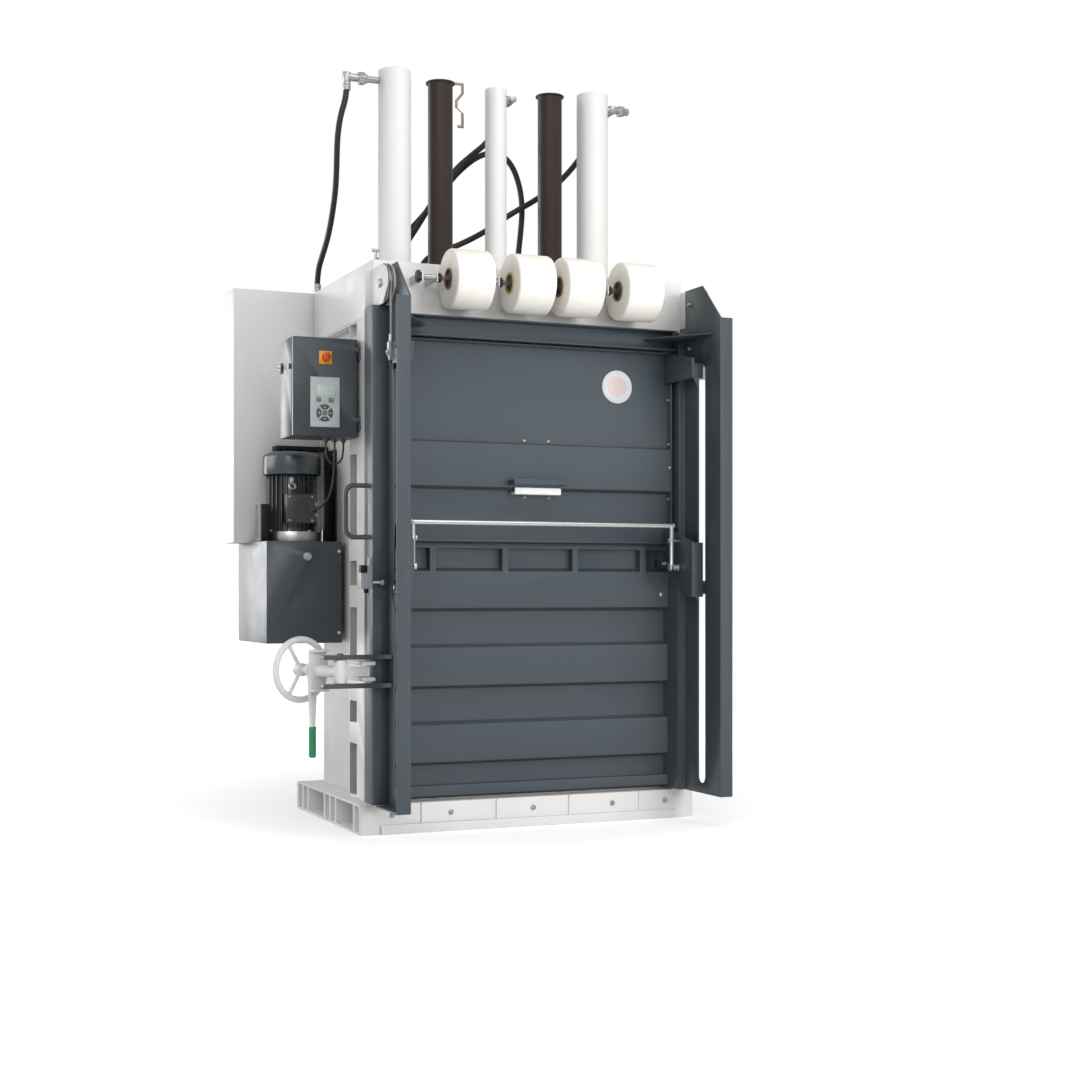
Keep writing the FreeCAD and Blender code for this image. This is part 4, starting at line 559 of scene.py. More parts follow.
def bolt_tree(name, sizes):
    """Hexagon heads with washers at the points of a mesh, each facing along its own direction."""
    tree = bpy.data.node_groups.new(name, "GeometryNodeTree")
    tree.is_modifier = True
    face = tree.interface
    face.new_socket("Geometry", in_out="INPUT", socket_type="NodeSocketGeometry")
    for label, value in zip(("Head radius", "Head height", "Washer radius"), sizes):
        socket = face.new_socket(label, in_out="INPUT", socket_type="NodeSocketFloat")
        socket.default_value = value
    face.new_socket("Geometry", in_out="OUTPUT", socket_type="NodeSocketGeometry")
    make = Wiring(tree)
    entry = make.add("NodeGroupInput").outputs
    join = make.add("GeometryNodeJoinGeometry")
    radius, height = entry["Head radius"], entry["Head height"]

    def cylinder(corners, across, depth, lift):
        shape = make.add("GeometryNodeMeshCylinder", Vertices=corners, Radius=across, Depth=depth)
        offset = make.add("ShaderNodeCombineXYZ", Z=make.maths("MULTIPLY", height, lift))
        shift = make.add("GeometryNodeTransform", Geometry=shape.outputs["Mesh"],
                         Translation=offset.outputs[0])
        tree.links.new(shift.outputs[0], join.inputs[0])

    cylinder(6, radius, height, 0.72)
    cylinder(24, entry["Washer radius"], make.maths("MULTIPLY", height, 0.24), 0.12)
    cylinder(16, make.maths("MULTIPLY", radius, 0.55), make.maths("MULTIPLY", height, 0.3), 1.3)
    facing = make.add("GeometryNodeInputNamedAttribute")
    facing.data_type = "FLOAT_VECTOR"
    facing.inputs["Name"].default_value = "facing"
    turn = make.add("FunctionNodeAlignRotationToVector", Vector=facing.outputs["Attribute"])
    turn.axis = "Z"
    place = make.add("GeometryNodeInstanceOnPoints", Points=entry["Geometry"],
                     Instance=join.outputs[0], Rotation=turn.outputs[0])
    real = make.add("GeometryNodeRealizeInstances", Geometry=place.outputs[0])
    coat = make.add("GeometryNodeSetMaterial", Geometry=real.outputs[0],
                    Material=FINISHES["zinc_plate"])
    make.add("NodeGroupOutput", Geometry=coat.outputs[0])
    return tree


def bolt_points(bolts):
    """A mesh of loose points that carry the direction in which each bolt faces."""
    mesh = bpy.data.meshes.new("bolt_points")
    mesh.from_pydata([Vector(place) / 1000 for place, _ in bolts], [], [])
    facing = mesh.attributes.new("facing", "FLOAT_VECTOR", "POINT")
    for item, (_, direction) in zip(facing.data, bolts):
        item.vector = Vector(direction)
    return mesh


def bolt_rows(name, bolts, body, sizes, replaced=()):
    """Bolts at (place in millimetres, direction) pairs, as one plain mesh on one body."""
    tree = bolt_tree(name + "_tree", sizes)
    holder = placed(name + "_points", bolt_points(bolts))
    holder.modifiers.new("bolts", "NODES").node_group = tree
    mesh = rounded(baked(holder), sizes[0] * 0.06, 1)
    mount_piece(name, mesh, body, "zinc", replaced=replaced)


# ---- hoses, cables and ropes

OUTER_HOSES = (
    ((-634, -50, 2915), (-634, -50, 2865), (-657, -40, 2785), (-662, -15, 2700), (-652, 25, 2615),
     (-641, 75, 2530), (-634, 140, 2450), (-629, 215, 2372), (-627, 292, 2316), (-628, 390, 2246),
     (-628, 390, 2165)),
    ((528, -10, 2934), (528, 62, 2934), (512, 124, 2880), (485, 128, 2810), (443, 112, 2748),
     (362, 98, 2658), (257, 92, 2571), (115, 90, 2487), (14, 90, 2410), (-124, 95, 2334),
     (-215, 105, 2306), (-275, 120, 2240), (-275, 120, 2175)),
)
INNER_HOSES = (
    ((72, -20, 2928), (72, 48, 2928), (62, 110, 2882), (38, 118, 2795), (-50, 100, 2722),
     (-124, 96, 2655), (-222, 96, 2515), (-290, 102, 2400), (-345, 114, 2315), (-400, 130, 2240),
     (-400, 130, 2175)),
    ((-455, 150, 2175), (-455, 150, 2240), (-405, 147, 2305), (-318, 144, 2383), (-225, 140, 2488),
     (-131, 138, 2616), (-67, 138, 2684), (3, 140, 2738), (83, 142, 2762), (150, 143, 2717),
     (188, 145, 2625), (200, 146, 2535), (191, 140, 2440), (172, 125, 2330), (160, 112, 2245),
     (160, 112, 2175)),
)
CABLES = (
    ((-763, -202, 1481), (-763, -202, 1432), (-745, -202, 1400), (-711, -202, 1400),
     (-693, -202, 1432), (-693, -202, 1481)),
    ((-728, -202, 1481), (-728, -202, 1425), (-722, -165, 1345), (-712, -80, 1275),
     (-735, 10, 1230), (-735, 90, 1230)),
)


def route_curve(name, route):
    """The smooth open curve that a route of points, in millimetres, controls."""
    curve = bpy.data.curves.new(name, "CURVE")
    curve.dimensions = "3D"
    curve.resolution_u = 10
    spline = curve.splines.new("NURBS")
    spline.points.add(len(route) - 1)
    for point, place in zip(spline.points, route):
        point.co = (*(Vector(place) / 1000), 1)
    spline.order_u = 3
    spline.use_endpoint_u = True
    return placed(name, curve)


def route_length(route):
    """Length of the smooth curve of a route, in metres."""
    mesh = baked(route_curve("measure", route))
    places = [vertex.co.copy() for vertex in mesh.vertices]
    bpy.data.meshes.remove(mesh)
    return sum((b - a).length for a, b in zip(places, places[1:]))


def soft_line(name, route, thickness, material, replaced):
    """A hose or cable along a route."""
    length = route_length(route)
    hose = route_curve(name, route)
    hose.data.bevel_depth = thickness / 2
    hose.data.bevel_resolution = 5
    hose.data.use_fill_caps = True
    hose.data.materials.append(FINISHES[material])
    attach(hose, "frame")
    if replaced:
        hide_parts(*replaced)


def hose_end(made, route):
    """The crimped ferrule at the first end of a route."""
    start, second = Vector(route[0]) / 1000, Vector(route[1]) / 1000
    line = (second - start).normalized()
    turned(made, start - line * 0.001, line,
           [(0, 0), (0, 0.0155), (0.003, 0.0165), (0.009, 0.0165), (0.011, 0.0150), (0.013, 0.0165),
            (0.019, 0.0165), (0.021, 0.0150), (0.023, 0.0162), (0.028, 0.0155), (0.030, 0.0135),
            (0.030, 0.011)], 24)


def twisted_rope(made, low, high, radius, lay):
    """Six strands laid round a straight line, from one point up to another."""
    low, high = Vector(low), Vector(high)
    line, side, up = frame_of(high - low)
    length = (high - low).length
    steps = max(24, int(length / lay * 14))
    strand = radius * 0.36
    for number in range(6):
        previous = None
        for step in range(steps + 1):
            along = length * step / steps
            angle = 2 * pi * (along / lay + number / 6)
            outward = side * cos(angle) + up * sin(angle)
            centre = low + line * along + outward * (radius - strand)
            around = line.cross(outward)
            now = ring(made, centre, outward, around, strand, 6)
            if previous:
                bridge(made, previous, now)
            else:
                made.faces.new(now[::-1])
            previous = now
        made.faces.new(previous)


# ---- operators, each after the functions that it calls

def hang_lamp(name, place, target, size, power, missed):
    """An area lamp that the camera doesn't see, nor the missed kinds of ray."""
    data = bpy.data.lights.new(name, "AREA")
    data.size = size
    data.energy = power
    lamp = placed(name, data)
    lamp.location = place
    lamp.rotation_euler = (Vector(target) - Vector(place)).to_track_quat("-Z", "Y").to_euler()
    for rays in ("camera", *missed):
        setattr(lamp, "visible_" + rays, False)


def white_world(scene):
    world = bpy.data.worlds.new("studio")
    scene.world = world
    world.use_nodes = True
    make = Wiring(world.node_tree)
    rays = make.add("ShaderNodeLightPath").outputs
    seen = make.maths("MAXIMUM", rays["Is Camera Ray"], rays["Is Transmission Ray"])
    plain = make.spread(seen, WORLD_LIGHT, WORLD_SEEN, 0, 1)
    mirrored = make.maths("MULTIPLY", rays["Is Glossy Ray"], WORLD_MIRRORED)
    back = world.node_tree.nodes["Background"]
    back.inputs["Color"].default_value = (1, 1, 1, 1)
    make.feed(back.inputs["Strength"], make.maths("MAXIMUM", plain, mirrored))


def lay_floor():
    """A pale floor that glows to the camera, less so near the machine."""
    reach = FLOOR_REACH
    mesh = bpy.data.meshes.new("floor")
    mesh.from_pydata([(-reach, -reach, 0), (reach, -reach, 0), (reach, reach, 0), (-reach, reach, 0)],
                     [], [(0, 1, 2, 3)])
    floor = placed("floor", mesh)
    paint = Finish("studio_floor", (0.86, 0.86, 0.86), 0.9)
    rays = paint.add("ShaderNodeLightPath").outputs
    away = paint.add("ShaderNodeVectorMath")
    away.operation = "LENGTH"
    paint.feed(away.inputs[0], paint.place)
    glow = paint.spread(away.outputs["Value"], *GLOW, *GLOW_SPAN)
    paint.link((1, 1, 1, 1), "Emission Color")
    paint.link(paint.maths("MULTIPLY", rays["Is Camera Ray"], glow), "Emission Strength")
    mesh.materials.append(FINISHES["studio_floor"])


class PRESS_OT_camera(Operator):
    """Set the camera, the lamps, the floor and the backdrop"""
    bl_idname = "press.camera"
    bl_label = "Camera and studio"

    def execute(self, context):
        scene = context.scene
        scene.view_settings.view_transform = "Standard"
        data = bpy.data.cameras.new("camera")
        data.lens = CAMERA_LENS
        data.sensor_width = 36.0
        data.shift_y = CAMERA_SHIFT
        data.clip_end = 100
        camera = placed("camera", data)
        camera.location = CAMERA_PLACE
        camera.rotation_euler = (radians(90), 0, CAMERA_TURN)
        scene.camera = camera
        for row in LAMPS:
            hang_lamp(*row)
        white_world(scene)
        lay_floor()
        return {"FINISHED"}


class PRESS_OT_finishes(Operator):
    """Make the paints, metals and plastics"""
    bl_idname = "press.finishes"
    bl_label = "Finishes"

    def execute(self, context):
        make_finishes(context.scene.press_colours)
        return {"FINISHED"}


class PRESS_OT_hoses(Operator):
    """Lay the oil hoses and the motor cables, with their crimped ends"""
    bl_idname = "press.hoses"
    bl_label = "Hoses and cables"

    def execute(self, context):
        sizes = context.scene.press_sizes
        for label, routes in (("outer_hoses", OUTER_HOSES), ("inner_hoses", INNER_HOSES)):
            for count, route in enumerate(routes, 1):
                made = bmesh.new()
                hose_end(made, route)
                hose_end(made, route[::-1])
                ferrules = mount_piece(f"{label}_ends_{count}", settled(made), "frame", "zinc")
                soft_line(f"{label}_{count}", route, sizes.hose, "hose_cover",
                          [label] if count == 1 else [])
        for count, route in enumerate(CABLES, 1):
            soft_line(f"cable_{count}", route, sizes.cable, "cable_cover",
                      ["cables"] if count == 1 else [])
        return {"FINISHED"}


def union_nuts():
    """Hexagon nuts of the screwed hose ends and of their feet."""
    made = bmesh.new()
    for place, radius, depth in (
            ((-585, -50, 2940), 0.026, 0.022), ((-560, -50, 2940), 0.018, 0.012),
            ((512, -50, 2934), 0.020, 0.012), ((553, -50, 2934), 0.023, 0.022),
            ((590, -50, 2934), 0.016, 0.010), ((45, -50, 2928), 0.015, 0.010)):
        hexagon(made, place, RIGHT, radius, depth)
    for x, y in ((-275, 120), (-400, 130), (-455, 150), (160, 112), (-628, 390)):
        hexagon(made, (x, y, 2151), UP, 0.019, 0.010)
    mount_made(made, 0.0012, "union_nuts", "frame", "zinc")


def tee_bolt():
    """The clamping bolt on the crosshead's left corner."""
    made = bmesh.new()
    pin(made, (-628, -400, 2148), UP, 0.006, 0.046)
    pin(made, (-643, -400, 2192), RIGHT, 0.0062, 0.030)
    hexagon(made, (-628, -400, 2150), UP, 0.011, 0.008)
    mount_made(made, 0.0008, "tee_bolt", "frame", "zinc", replaced=["frame_bolts"])


def soffits():
    """Strips that close the crosshead from below beside the chamber walls."""
    made = bmesh.new()
    for low, high in ((-0.6485, -0.6075), (0.6075, 0.6485)):
        block(made, (low, -0.143, 1.9435), (high, 0.366, 1.9495))
    mount_made(made, 0.001, "crosshead_soffits", "frame", "white_paint")


def post_backs():
    """White sheets that close the posts' windows at the back, with darker sheets inside them that are
    painted shade.
    """
    made = bmesh.new()
    gap = 0.0005
    for side in (-1, 1):
        low, high = sorted((side * 0.6062, side * 0.6498))
        block(made, (low, -0.1448, 0.1235), (high, -0.1390, 1.9480))
        # The darker sheets inside the windows are painted shade.
        low, high = sorted((side * 0.6125, side * 0.6492))
        for bottom, top in WINDOWS:
            block(made, (low, -0.1456, bottom + gap), (high, -0.1449, top - gap), 1)
    mount_piece("post_backs", settled(made), "frame", "white_paint", ["white_coat", "deep_coat"])


def motor_shelf_and_painted_shade():
    """A dark shelf over the back of the motor, and a dark sheet on the wall beside it that is painted
    shade.
    """
    made = bmesh.new()
    block(made, (-0.825, 0.300, 1.488), (-0.607, 0.3715, 1.506))
    # Painted shade: a dark sheet on the wall beside the motor.
    block(made, (-0.6125, 0.178, 1.110), (-0.6063, 0.366, 1.488))
    mount_made(made, 0.0015, "motor_shelf_and_painted_shade", "frame", "black_paint")


class PRESS_OT_frame(Operator):
    """Finish the white press frame, its base and the crosshead"""
    bl_idname = "press.frame"
    bl_label = "Press frame"

    def execute(self, context):
        edge, fold, _ = widths(context)
        dress_all(
            ("base_frame back_wall crosshead rear_cover", "white_paint", fold),
            # The posts' window floors are painted shade.
            ("left_side right_side", "white_paint", fold, None, "deep_coat",
             lambda at: abs(abs(at.x) - WINDOW_FLOOR) < 0.001),
            ("roll_carrier", "white_paint", edge, None, "zinc_plate",
             lambda at: hypot(at.y - ROLL_AXIS[0], at.z - ROLL_AXIS[1]) < ROLL_ROD),
            ("cylinder_barrels", "white_paint", fold),
            ("cylinder_fittings", "zinc", edge))
        union_nuts()
        tee_bolt()
        motor_shelf_and_painted_shade()
        soffits()
        post_backs()
        return {"FINISHED"}


def switch_cap():
    """The black cap on the limit switch and the cable gland under it."""
    made = bmesh.new()
    block(made, (-0.7485, -0.607, 0.978), (-0.7235, -0.577, 1.006))
    pin(made, (-724, -590, 920), DOWN, 0.009, 0.014)
    mount_made(made, 0.004, "switch_cap", "front_door", "black_paint")


def stop_knob():
    """The star knob on its threaded pin in the row of openings."""
    made = bmesh.new()
    pin(made, (548, -450, 1021), RIGHT, 0.005, 0.040, 1)
    hexagon(made, (566, -450, 1021), RIGHT, 0.010, 0.008, 1)
    lobed(made, (530, -450, 1021), 0.0165, 0.018, 7)
    mount_made(made, 0.001, "stop_knob", "loading_door", "black_paint",
               ["black_plastic", "zinc_plate"])


class PRESS_OT_front(Operator):
    """Finish the dark swinging front with its guards, ducts and bale door"""
    bl_idname = "press.front"
    bl_label = "Dark front"

    def execute(self, context):
        edge, fold, heavy = widths(context)
        dress_all(
            ("bale_door left_guard right_guard counterweight_ducts top_beam lock_arms",
             "dark_paint", fold),
            ("pulley_brackets", "white_paint", edge),
            ("limit_switch", "black_paint", fold, "case_grey"),
            ("switch_plunger", "zinc", edge * 0.6),
            ("rope_pulleys", "steel", edge),
            ("counterweights", "steel", heavy, "cast_iron"))
        switch_cap()
        stop_knob()
        return {"FINISHED"}


def round_badge():
    """A plain round disc with a tinted field, low on the right of the upper sheet."""
    made = bmesh.new()
    turned(made, (0.361, -0.4412, 1.720), FRONT,
           [(0, 0), (0, 0.065), (0.0008, 0.065), (0.0010, 0.0646), (0.0010, 0.0415)], 64)
    turned(made, (0.361, -0.4420, 1.720), FRONT,
           [(0, 0.0415), (0.0004, 0.0415), (0.0005, 0.041), (0.0005, 0)], 64, 1)
    mount_piece("round_badge", settled(made), "loading_door", "dark_paint",
                ["badge_disc", "badge_field"])


def rope_forks():
    """Forks and crimped sleeves at the door's ends of the ropes."""
    made = bmesh.new()
    for x in (-650, 650):
        for low in (x - 12.3, x + 9.3):
            block(made, (low / 1000, -0.664, 1.762), ((low + 3) / 1000, -0.642, 1.813))
        pin(made, (x - 15, -653, 1776), RIGHT, 0.005, 0.030)
        hexagon(made, (x - 18, -653, 1776), RIGHT, 0.009, 0.005)
        pin(made, (x, -653, 1812), UP, 0.0075, 0.030)
    mount_made(made, 0.0008, "rope_forks", "loading_door", "zinc")


def bail_nuts():
    """Nuts and collars on the bail bar's ends and legs."""
    made = bmesh.new()
    for side in (-1, 1):
        away = (side, 0, 0)
        hexagon(made, (side * 560, -570, 1003), away, 0.0155, 0.009)
        pin(made, (side * 549, -570, 1003), away, 0.0145, 0.003)
        pin(made, (side * 528, -570, 1108), away, 0.0055, 0.056)
        hexagon(made, (side * 522, -570, 1108), away, 0.0105, 0.008)
        pin(made, (side * 571, -570, 1108), away, 0.0135, 0.004)
        pin(made, (side * 538, -570, 1167), away, 0.0118, 0.010)
    mount_made(made, 0.0008, "bail_nuts", "bail_bar", "zinc")


class PRESS_OT_loading_door(Operator):
    """Finish the sliding loading door, its arms, rollers and bail bar"""
    bl_idname = "press.loading_door"
    bl_label = "Loading door"

    def execute(self, context):
        edge, fold, heavy = widths(context)
        dress_all(
            ("door_panel door_handle", "dark_paint", fold),
            ("door_arms", "dark_paint", fold, None, "zinc_plate", lambda at: abs(at.x) > PIN_START),
            ("guide_block", "white_paint", heavy, "block_coat"),
            ("upper_rollers", "nylon", edge),
            ("lower_rollers", "nylon", edge, "black_plastic"),
            ("bail_bar", "zinc", edge, "bright_bar"))
        round_badge()
        rope_forks()
        bail_nuts()
        return {"FINISHED"}


class PRESS_OT_ram(Operator):
    """Finish the ram plate, its rods, guide tubes and switch strip"""
    bl_idname = "press.ram"
    bl_label = "Ram"

    def execute(self, context):
        edge, fold, _ = widths(context)
        dress_all(
            ("press_plate", "white_paint", fold),
            ("guide_tubes", "brown_paint", edge),
            ("switch_strip", "zinc", edge * 0.5, "brown_steel"),
            ("piston_rods", "chrome", edge))
        return {"FINISHED"}


def fan_cowl():
    """A domed fan cowl with rings and ribs on its top."""
    made = bmesh.new()
    x, y, z = COWL_FOOT
    turned(made, COWL_FOOT, UP,
           [(0.006, 0.1135), (0, 0.1145), (0, 0.1165), (0.004, 0.1178), (0.060, 0.1178),
            (0.070, 0.1165), (0.079, 0.1125), (0.0855, 0.105), (0.0895, 0.094),
            (0.0915, 0.080)], 96)
    for inner, outer in ((0.080, 0.070), (0.060, 0.050), (0.040, 0.030)):
        turned(made, COWL_FOOT, UP,
               [(0.0915, inner), (0.0930, outer), (0.0900, outer), (0.0885, inner),
                (0.0915, inner)], 72)
    for k in range(8):
        angle = pi * (k + 0.5) / 4
        along = Vector((cos(angle), sin(angle), 0))
        across = Vector((-along.y, along.x, 0)) * 0.0022
        prism(made, [along * 0.012 - across, along * 0.082 - across, along * 0.082 + across,
                     along * 0.012 + across], UP, (x, y, z + 0.0885), 0.004)
    turned(made, COWL_FOOT, UP,
           [(0.0885, 0), (0.0885, 0.014), (0.093, 0.014), (0.094, 0.012), (0.094, 0)], 32)
    turned(made, COWL_FOOT, UP,
           [(0.0915, 0.080), (0.0870, 0.092), (0.0830, 0.103), (0.0760, 0.1105),
            (0.0680, 0.1145), (0.006, 0.1145), (0.006, 0.1135)], 96)
    mount_piece("motor_cowl_domed", settled(made), "frame", "black_paint", ["cowl_coat"],
                ["motor_cowl"], 40)


def drive_fittings():
    """The lifting eye, the terminal box lid, its glands and the lock on the tank housing."""
    made = bmesh.new()
    hoop(made, (-806, 126, 1330), (0.15, -1, 0.35), 0.013, 0.0045)
    pin(made, (-806, 134, 1345), (0.05, -0.4, 1), 0.008, 0.022)
    for x, z in ((-824, 1193), (-732, 1193), (-824, 1287), (-732, 1287)):
        pin(made, (x, 101, z), FRONT, 0.0045, 0.006)
    for z in (1215, 1258):
        hexagon(made, (-723, 136, z), RIGHT, 0.0115, 0.014)
        pin(made, (-709, 136, z), RIGHT, 0.008, 0.010)
    pin(made, (-769, 33, 1048), FRONT, 0.0165, 0.0040, count=40)
    hoop(made, (-769, 29.5, 1048), FRONT, 0.012, 0.0016)
    block(made, (-0.7765, 0.0285, 1.0462), (-0.7615, 0.0302, 1.0498))
    for angle in range(25, 360, 45):
        turn = radians(angle)
        hexagon(made, (-778 + 108 * cos(turn), 240 + 108 * sin(turn), 1150), UP, 0.0075, 0.006)
    mount_made(made, 0.0006, "drive_fittings", "frame", "zinc")
    made = bmesh.new()
    block(made, (-0.8375, 0.099, 1.181), (-0.7185, 0.107, 1.299))
    mount_made(made, 0.004, "terminal_lid", "frame", "grey_paint", segments=3)


class PRESS_OT_drive(Operator):
    """Finish the tank housing, motor, fan and valve block"""
    bl_idname = "press.drive"
    bl_label = "Drive"

    def execute(self, context):
        edge, fold, heavy = widths(context)
        dress_all(
            ("tank_housing", "dark_paint", fold, "housing_coat", "zinc_plate",
             lambda at: at.y < TANK_LOCK_BACK),
            ("motor_body", "grey_paint", edge * 0.8, None, "cast_alloy",
             lambda at: FLANGE[0] < at.z < FLANGE[1]))
        fan_cowl()
        dress_all(("motor_fan", "fan_plastic", edge * 0.5),
                  ("valve_block", "zinc", heavy * 0.6, "black_coat"))
        drive_fittings()
        return {"FINISHED"}


def key_marks():
    """The display, the gaps between the four arrow keys and the light marks on every key."""
    made = bmesh.new()
    block(made, (-0.820, -0.2868, 1.652), (-0.752, -0.2855, 1.690), 1)
    mount_made(made, 0.0005, "display", "control_cover", "keypad_foil",
               ["keypad_foil", "screen_glass"])

    def spoke(turn, width):
        angle = pi * turn / 2
        along = Vector((cos(angle), 0, sin(angle)))
        return along, Vector((-along.z, 0, along.x)) * width

    made = bmesh.new()
    centre = Vector((-0.7916, -0.2885, 1.585))
    for k in range(4):
        along, across = spoke(k + 0.5, 0.0032)
        prism(made, [along * 0.012 - across, along * 0.0322 - across, along * 0.0322 + across,
                     along * 0.012 + across], FRONT, centre + Vector((0, 0.0004, 0)), 0.0010)
    hoop(made, (-791.6, -288.6, 1585), FRONT, 0.0118, 0.0022, sides=6)
    for k in range(4):
        along, across = spoke(k, 0.0045)
        prism(made, [along * 0.0195 - across, along * 0.0265, along * 0.0195 + across],
              FRONT, centre + Vector((0, 0.0003, 0)), 0.0007)
    mount_piece("arrow_marks", settled(made), "arrow_pad", "key_dark", ["keypad_foil"])
    for node, x, z in (("start_button", -766.6, 1634.6), ("stop_button", -814.3, 1634.6),
                       ("centre_button", -791.6, 1585)):
        made = bmesh.new()
        hoop(made, (x, -288.5, z), FRONT, 0.0042, 0.0009, sides=6)
        block(made, (x / 1000 - 0.0007, -0.2890, z / 1000),
              (x / 1000 + 0.0007, -0.2884, z / 1000 + 0.0045))
        mount_piece(node + "_mark", settled(made), BODY_OF[node], "key_dark", ["keypad_foil"])


def box_latch():
    """The quarter-turn latch near the back edge of the control box, and its frame plate."""
    made = bmesh.new()
    block(made, (-0.9165, -0.131, 1.746), (-0.9129, -0.103, 1.786), 1)
    pin(made, (-916, -117, 1768), (-1, 0, 0), 0.010, 0.006)
    block(made, (-0.9245, -0.1205, 1.764), (-0.9215, -0.1135, 1.772), 1)
    mount_made(made, 0.001, "box_latch", "frame", "zinc", ["zinc_plate", "black_coat"])


class PRESS_OT_controls(Operator):
    """Finish the control box, its cover, main switch and key pad"""
    bl_idname = "press.controls"
    bl_label = "Controls"

    def execute(self, context):
        edge, fold, heavy = widths(context)
        dress_all(
            ("control_box", "dark_paint", fold, "housing_coat"),
            ("control_cover", "dark_paint", heavy, "housing_coat"),
            ("main_switch", "switch_yellow", edge, "switch_plate"),
            ("switch_knob", "switch_red", edge),
            ("keypad", "keypad_foil", edge),
            ("start_button", "key_green", edge),
            ("stop_button", "key_red", edge),
            ("arrow_pad centre_button", "key_dark", edge, "key_grey"))
        key_marks()
        box_latch()
        return {"FINISHED"}


def wind_roll(count, left):
    """A reel with soft shoulders, a board core set in a little and bevelled ends."""
    made = bmesh.new()
    width, reel, core, bore, hub = ROLL_WIDTH, 0.112, 0.0385, 0.0335, 0.0106
    centre = (left, *ROLL_AXIS)
    turned(made, centre, RIGHT,
           [(0.004, core), (0.0015, 0.042), (0.0, 0.046), (0.0, 0.104), (0.0025, 0.1095),
            (0.008, reel), (width - 0.008, reel), (width - 0.0025, 0.1095), (width, 0.104),
            (width, 0.046), (width - 0.0015, 0.042), (width - 0.004, core)], 72)
    turned(made, centre, RIGHT,
           [(0.006, core), (-0.0015, core), (-0.0015, bore), (width + 0.0015, bore),
            (width + 0.0015, core), (width - 0.006, core)], 48, 1)
    for start, end in ((0.006, 0.012), (width - 0.012, width - 0.006)):
        turned(made, centre, RIGHT, [(start, bore), (start, hub), (end, hub), (end, bore)], 32, 2)
    mount_piece(f"strap_reel_{count}", settled(made), f"strap_roll_{count}", "roll_film",
                ["strap_winding", "core_yellow" if count == 2 else "core_board", "black_plastic"],
                [f"strap_roll_{count}"])


def set_knobs(lobes):
    made = bmesh.new()
    level = [value * 1000 for value in ROLL_AXIS]
    lobed(made, (-521, *level), 0.0215, 0.013, lobes)
    for left in ROLL_LEFTS:
        lobed(made, (left * 1000 - 42, *level), 0.0165, 0.013, lobes)
    mount_made(made, 0.0015, "star_knob_set", "frame", "black_paint", ["black_plastic"],
               ["star_knobs"])


class PRESS_OT_strap_rolls(Operator):
    """Wind the strap rolls and set their star knobs"""
    bl_idname = "press.strap_rolls"
    bl_label = "Strap rolls"

    def execute(self, context):
        for count, left in enumerate(ROLL_LEFTS, 1):
            wind_roll(count, left)
        set_knobs(context.scene.press_sizes.knob_lobes)
        return {"FINISHED"}


class PRESS_OT_lock(Operator):
    """Finish the lock with its handwheel and hanging lever"""
    bl_idname = "press.lock"
    bl_label = "Lock"

    def execute(self, context):
        edge, fold, _ = widths(context)
        dress_all(
            ("lock_swivel", "zinc", fold, "white_coat"),
            ("handwheel", "white_paint", edge),
            ("lock_lever", "steel", edge, "white_coat"))
        made = bmesh.new()
        foot = LOCK_PIN + SPINDLE_LINE * 0.167 + Vector((0, 0, -0.322))
        turned(made, foot, UP,
               [(0, 0), (0, 0.008), (0.003, 0.0125), (0.008, 0.0135), (0.100, 0.0130),
                (0.104, 0.0142), (0.112, 0.0142), (0.114, 0.0128), (0.114, 0.010)], 28)
        mount_piece("lever_grip", settled(made), "lock_lever", "steel", ["grip_sleeve"])
        return {"FINISHED"}


class PRESS_OT_ropes(Operator):
    """Lay the wire ropes from the pulleys down to the door and to the counterweights"""
    bl_idname = "press.ropes"
    bl_label = "Wire ropes"

    def execute(self, context):
        sizes = context.scene.press_sizes
        for node, far_body, y, low in (("door_ropes", "loading_door", -0.653, 1.811),
                                       ("weight_ropes", "counterweights", -0.513, 1.290)):
            made = bmesh.new()
            for x in (-ROPE_OUT, ROPE_OUT):
                twisted_rope(made, (x, y, low), (x, y, ROPE_TOP), sizes.rope / 2, sizes.rope_lay)
            mesh = settled(made)
            mesh.materials.append(FINISHES["rope_wire"])
            finish_mesh(mesh, 60)
            rope = placed(node + "_laid", mesh)
            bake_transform(rope)
            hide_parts(node)
        return {"FINISHED"}


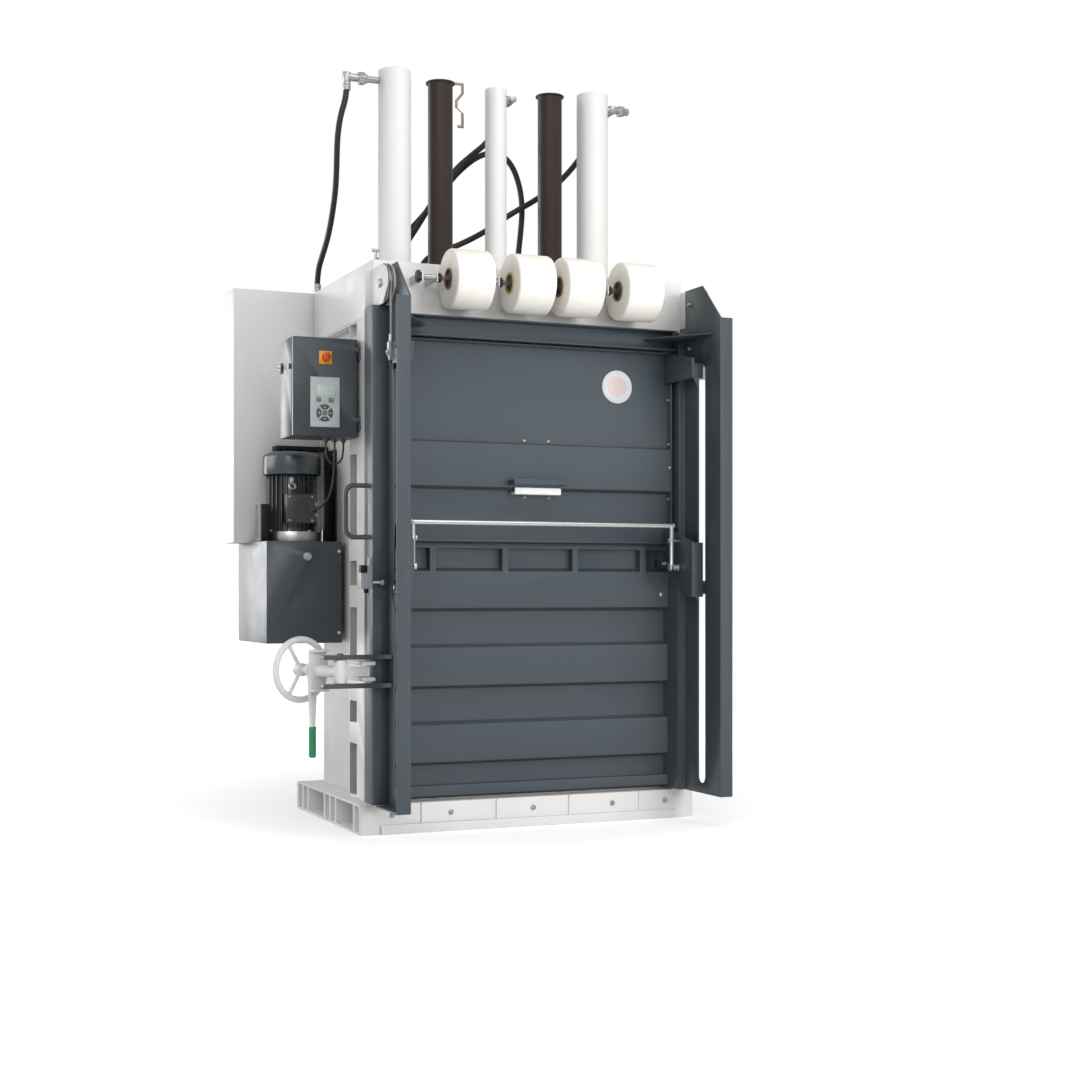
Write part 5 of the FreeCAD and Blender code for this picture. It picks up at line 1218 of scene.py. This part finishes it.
class PRESS_OT_bolts(Operator):
    """Set the hexagon bolts, each row by one node tree"""
    bl_idname = "press.bolts"
    bl_label = "Bolts"

    def execute(self, context):
        radius = context.scene.press_sizes.bolt
        medium = (radius, 0.007, radius * 1.15)
        door_bolts = [((-625, -590, z), RIGHT) for z in (568, 672)]
        door_bolts += [((sign * 625, -557, z), (-sign, 0, 0)) for sign in (-1, 1) for z in (1871, 2045)]
        panel_bolts = [((x, -441, z), FRONT) for x in (-37, 65) for z in (1491, 1276)]
        panel_bolts += [((582, -460, z), (-1, 0, 0)) for z in (1674, 1497, 1280)]
        panel_bolts += [((577, -480, 1402), FRONT)]
        bolt_rows("frame_bolt_heads", [((x, -440, 72), FRONT) for x in (-574, -340, 0, 340, 574)],
                  "frame", medium)
        bolt_rows("tank_bolt_heads", [((-637, 40, z), FRONT) for z in (744, 1068)],
                  "frame", (radius * 0.62, 0.005, radius * 0.8))
        bolt_rows("axle_nuts", [((side * 666, -583, 2035), (side, 0, 0)) for side in (-1, 1)],
                  "front_door", (0.016, 0.008, 0.021))
        bolt_rows("door_bolt_heads", door_bolts, "front_door", medium, ["door_bolts"])
        bolt_rows("panel_bolt_heads", panel_bolts, "loading_door", (radius * 0.7, 0.005, radius * 0.8))
        bolt_rows("bale_door_bolt", [((566, -430, 897), FRONT)], "front_door",
                  (radius * 1.05, 0.0025, radius * 1.2))
        return {"FINISHED"}


class PRESS_PT_sidebar(Panel):
    """Lists the press's sizes, colours and steps"""
    bl_label = "Baling press"
    bl_idname = "PRESS_PT_sidebar"
    bl_space_type = "VIEW_3D"
    bl_region_type = "UI"
    bl_category = "Press"

    def draw(self, context):
        for group in (context.scene.press_sizes, context.scene.press_colours):
            for name in group.__annotations__:
                self.layout.prop(group, name)
        for step in STEPS:
            self.layout.operator(step.bl_idname)


STEPS = (PRESS_OT_camera, PRESS_OT_finishes, PRESS_OT_hoses, PRESS_OT_frame, PRESS_OT_ram,
         PRESS_OT_front, PRESS_OT_loading_door, PRESS_OT_ropes, PRESS_OT_drive, PRESS_OT_controls,
         PRESS_OT_strap_rolls, PRESS_OT_lock, PRESS_OT_bolts)
CLASSES = (PressSizes, PressColours, *STEPS, PRESS_PT_sidebar)


def register():
    for item in CLASSES:
        bpy.utils.register_class(item)
    Scene.press_sizes = PointerProperty(type=PressSizes)
    Scene.press_colours = PointerProperty(type=PressColours)


def unregister():
    del Scene.press_colours
    del Scene.press_sizes
    for item in reversed(CLASSES):
        bpy.utils.unregister_class(item)


def main():
    register()
    for step in STEPS:
        group, name = step.bl_idname.split(".")
        getattr(getattr(bpy.ops, group), name)()
    bpy.context.view_layer.update()


if __name__ == "__main__":
    main()
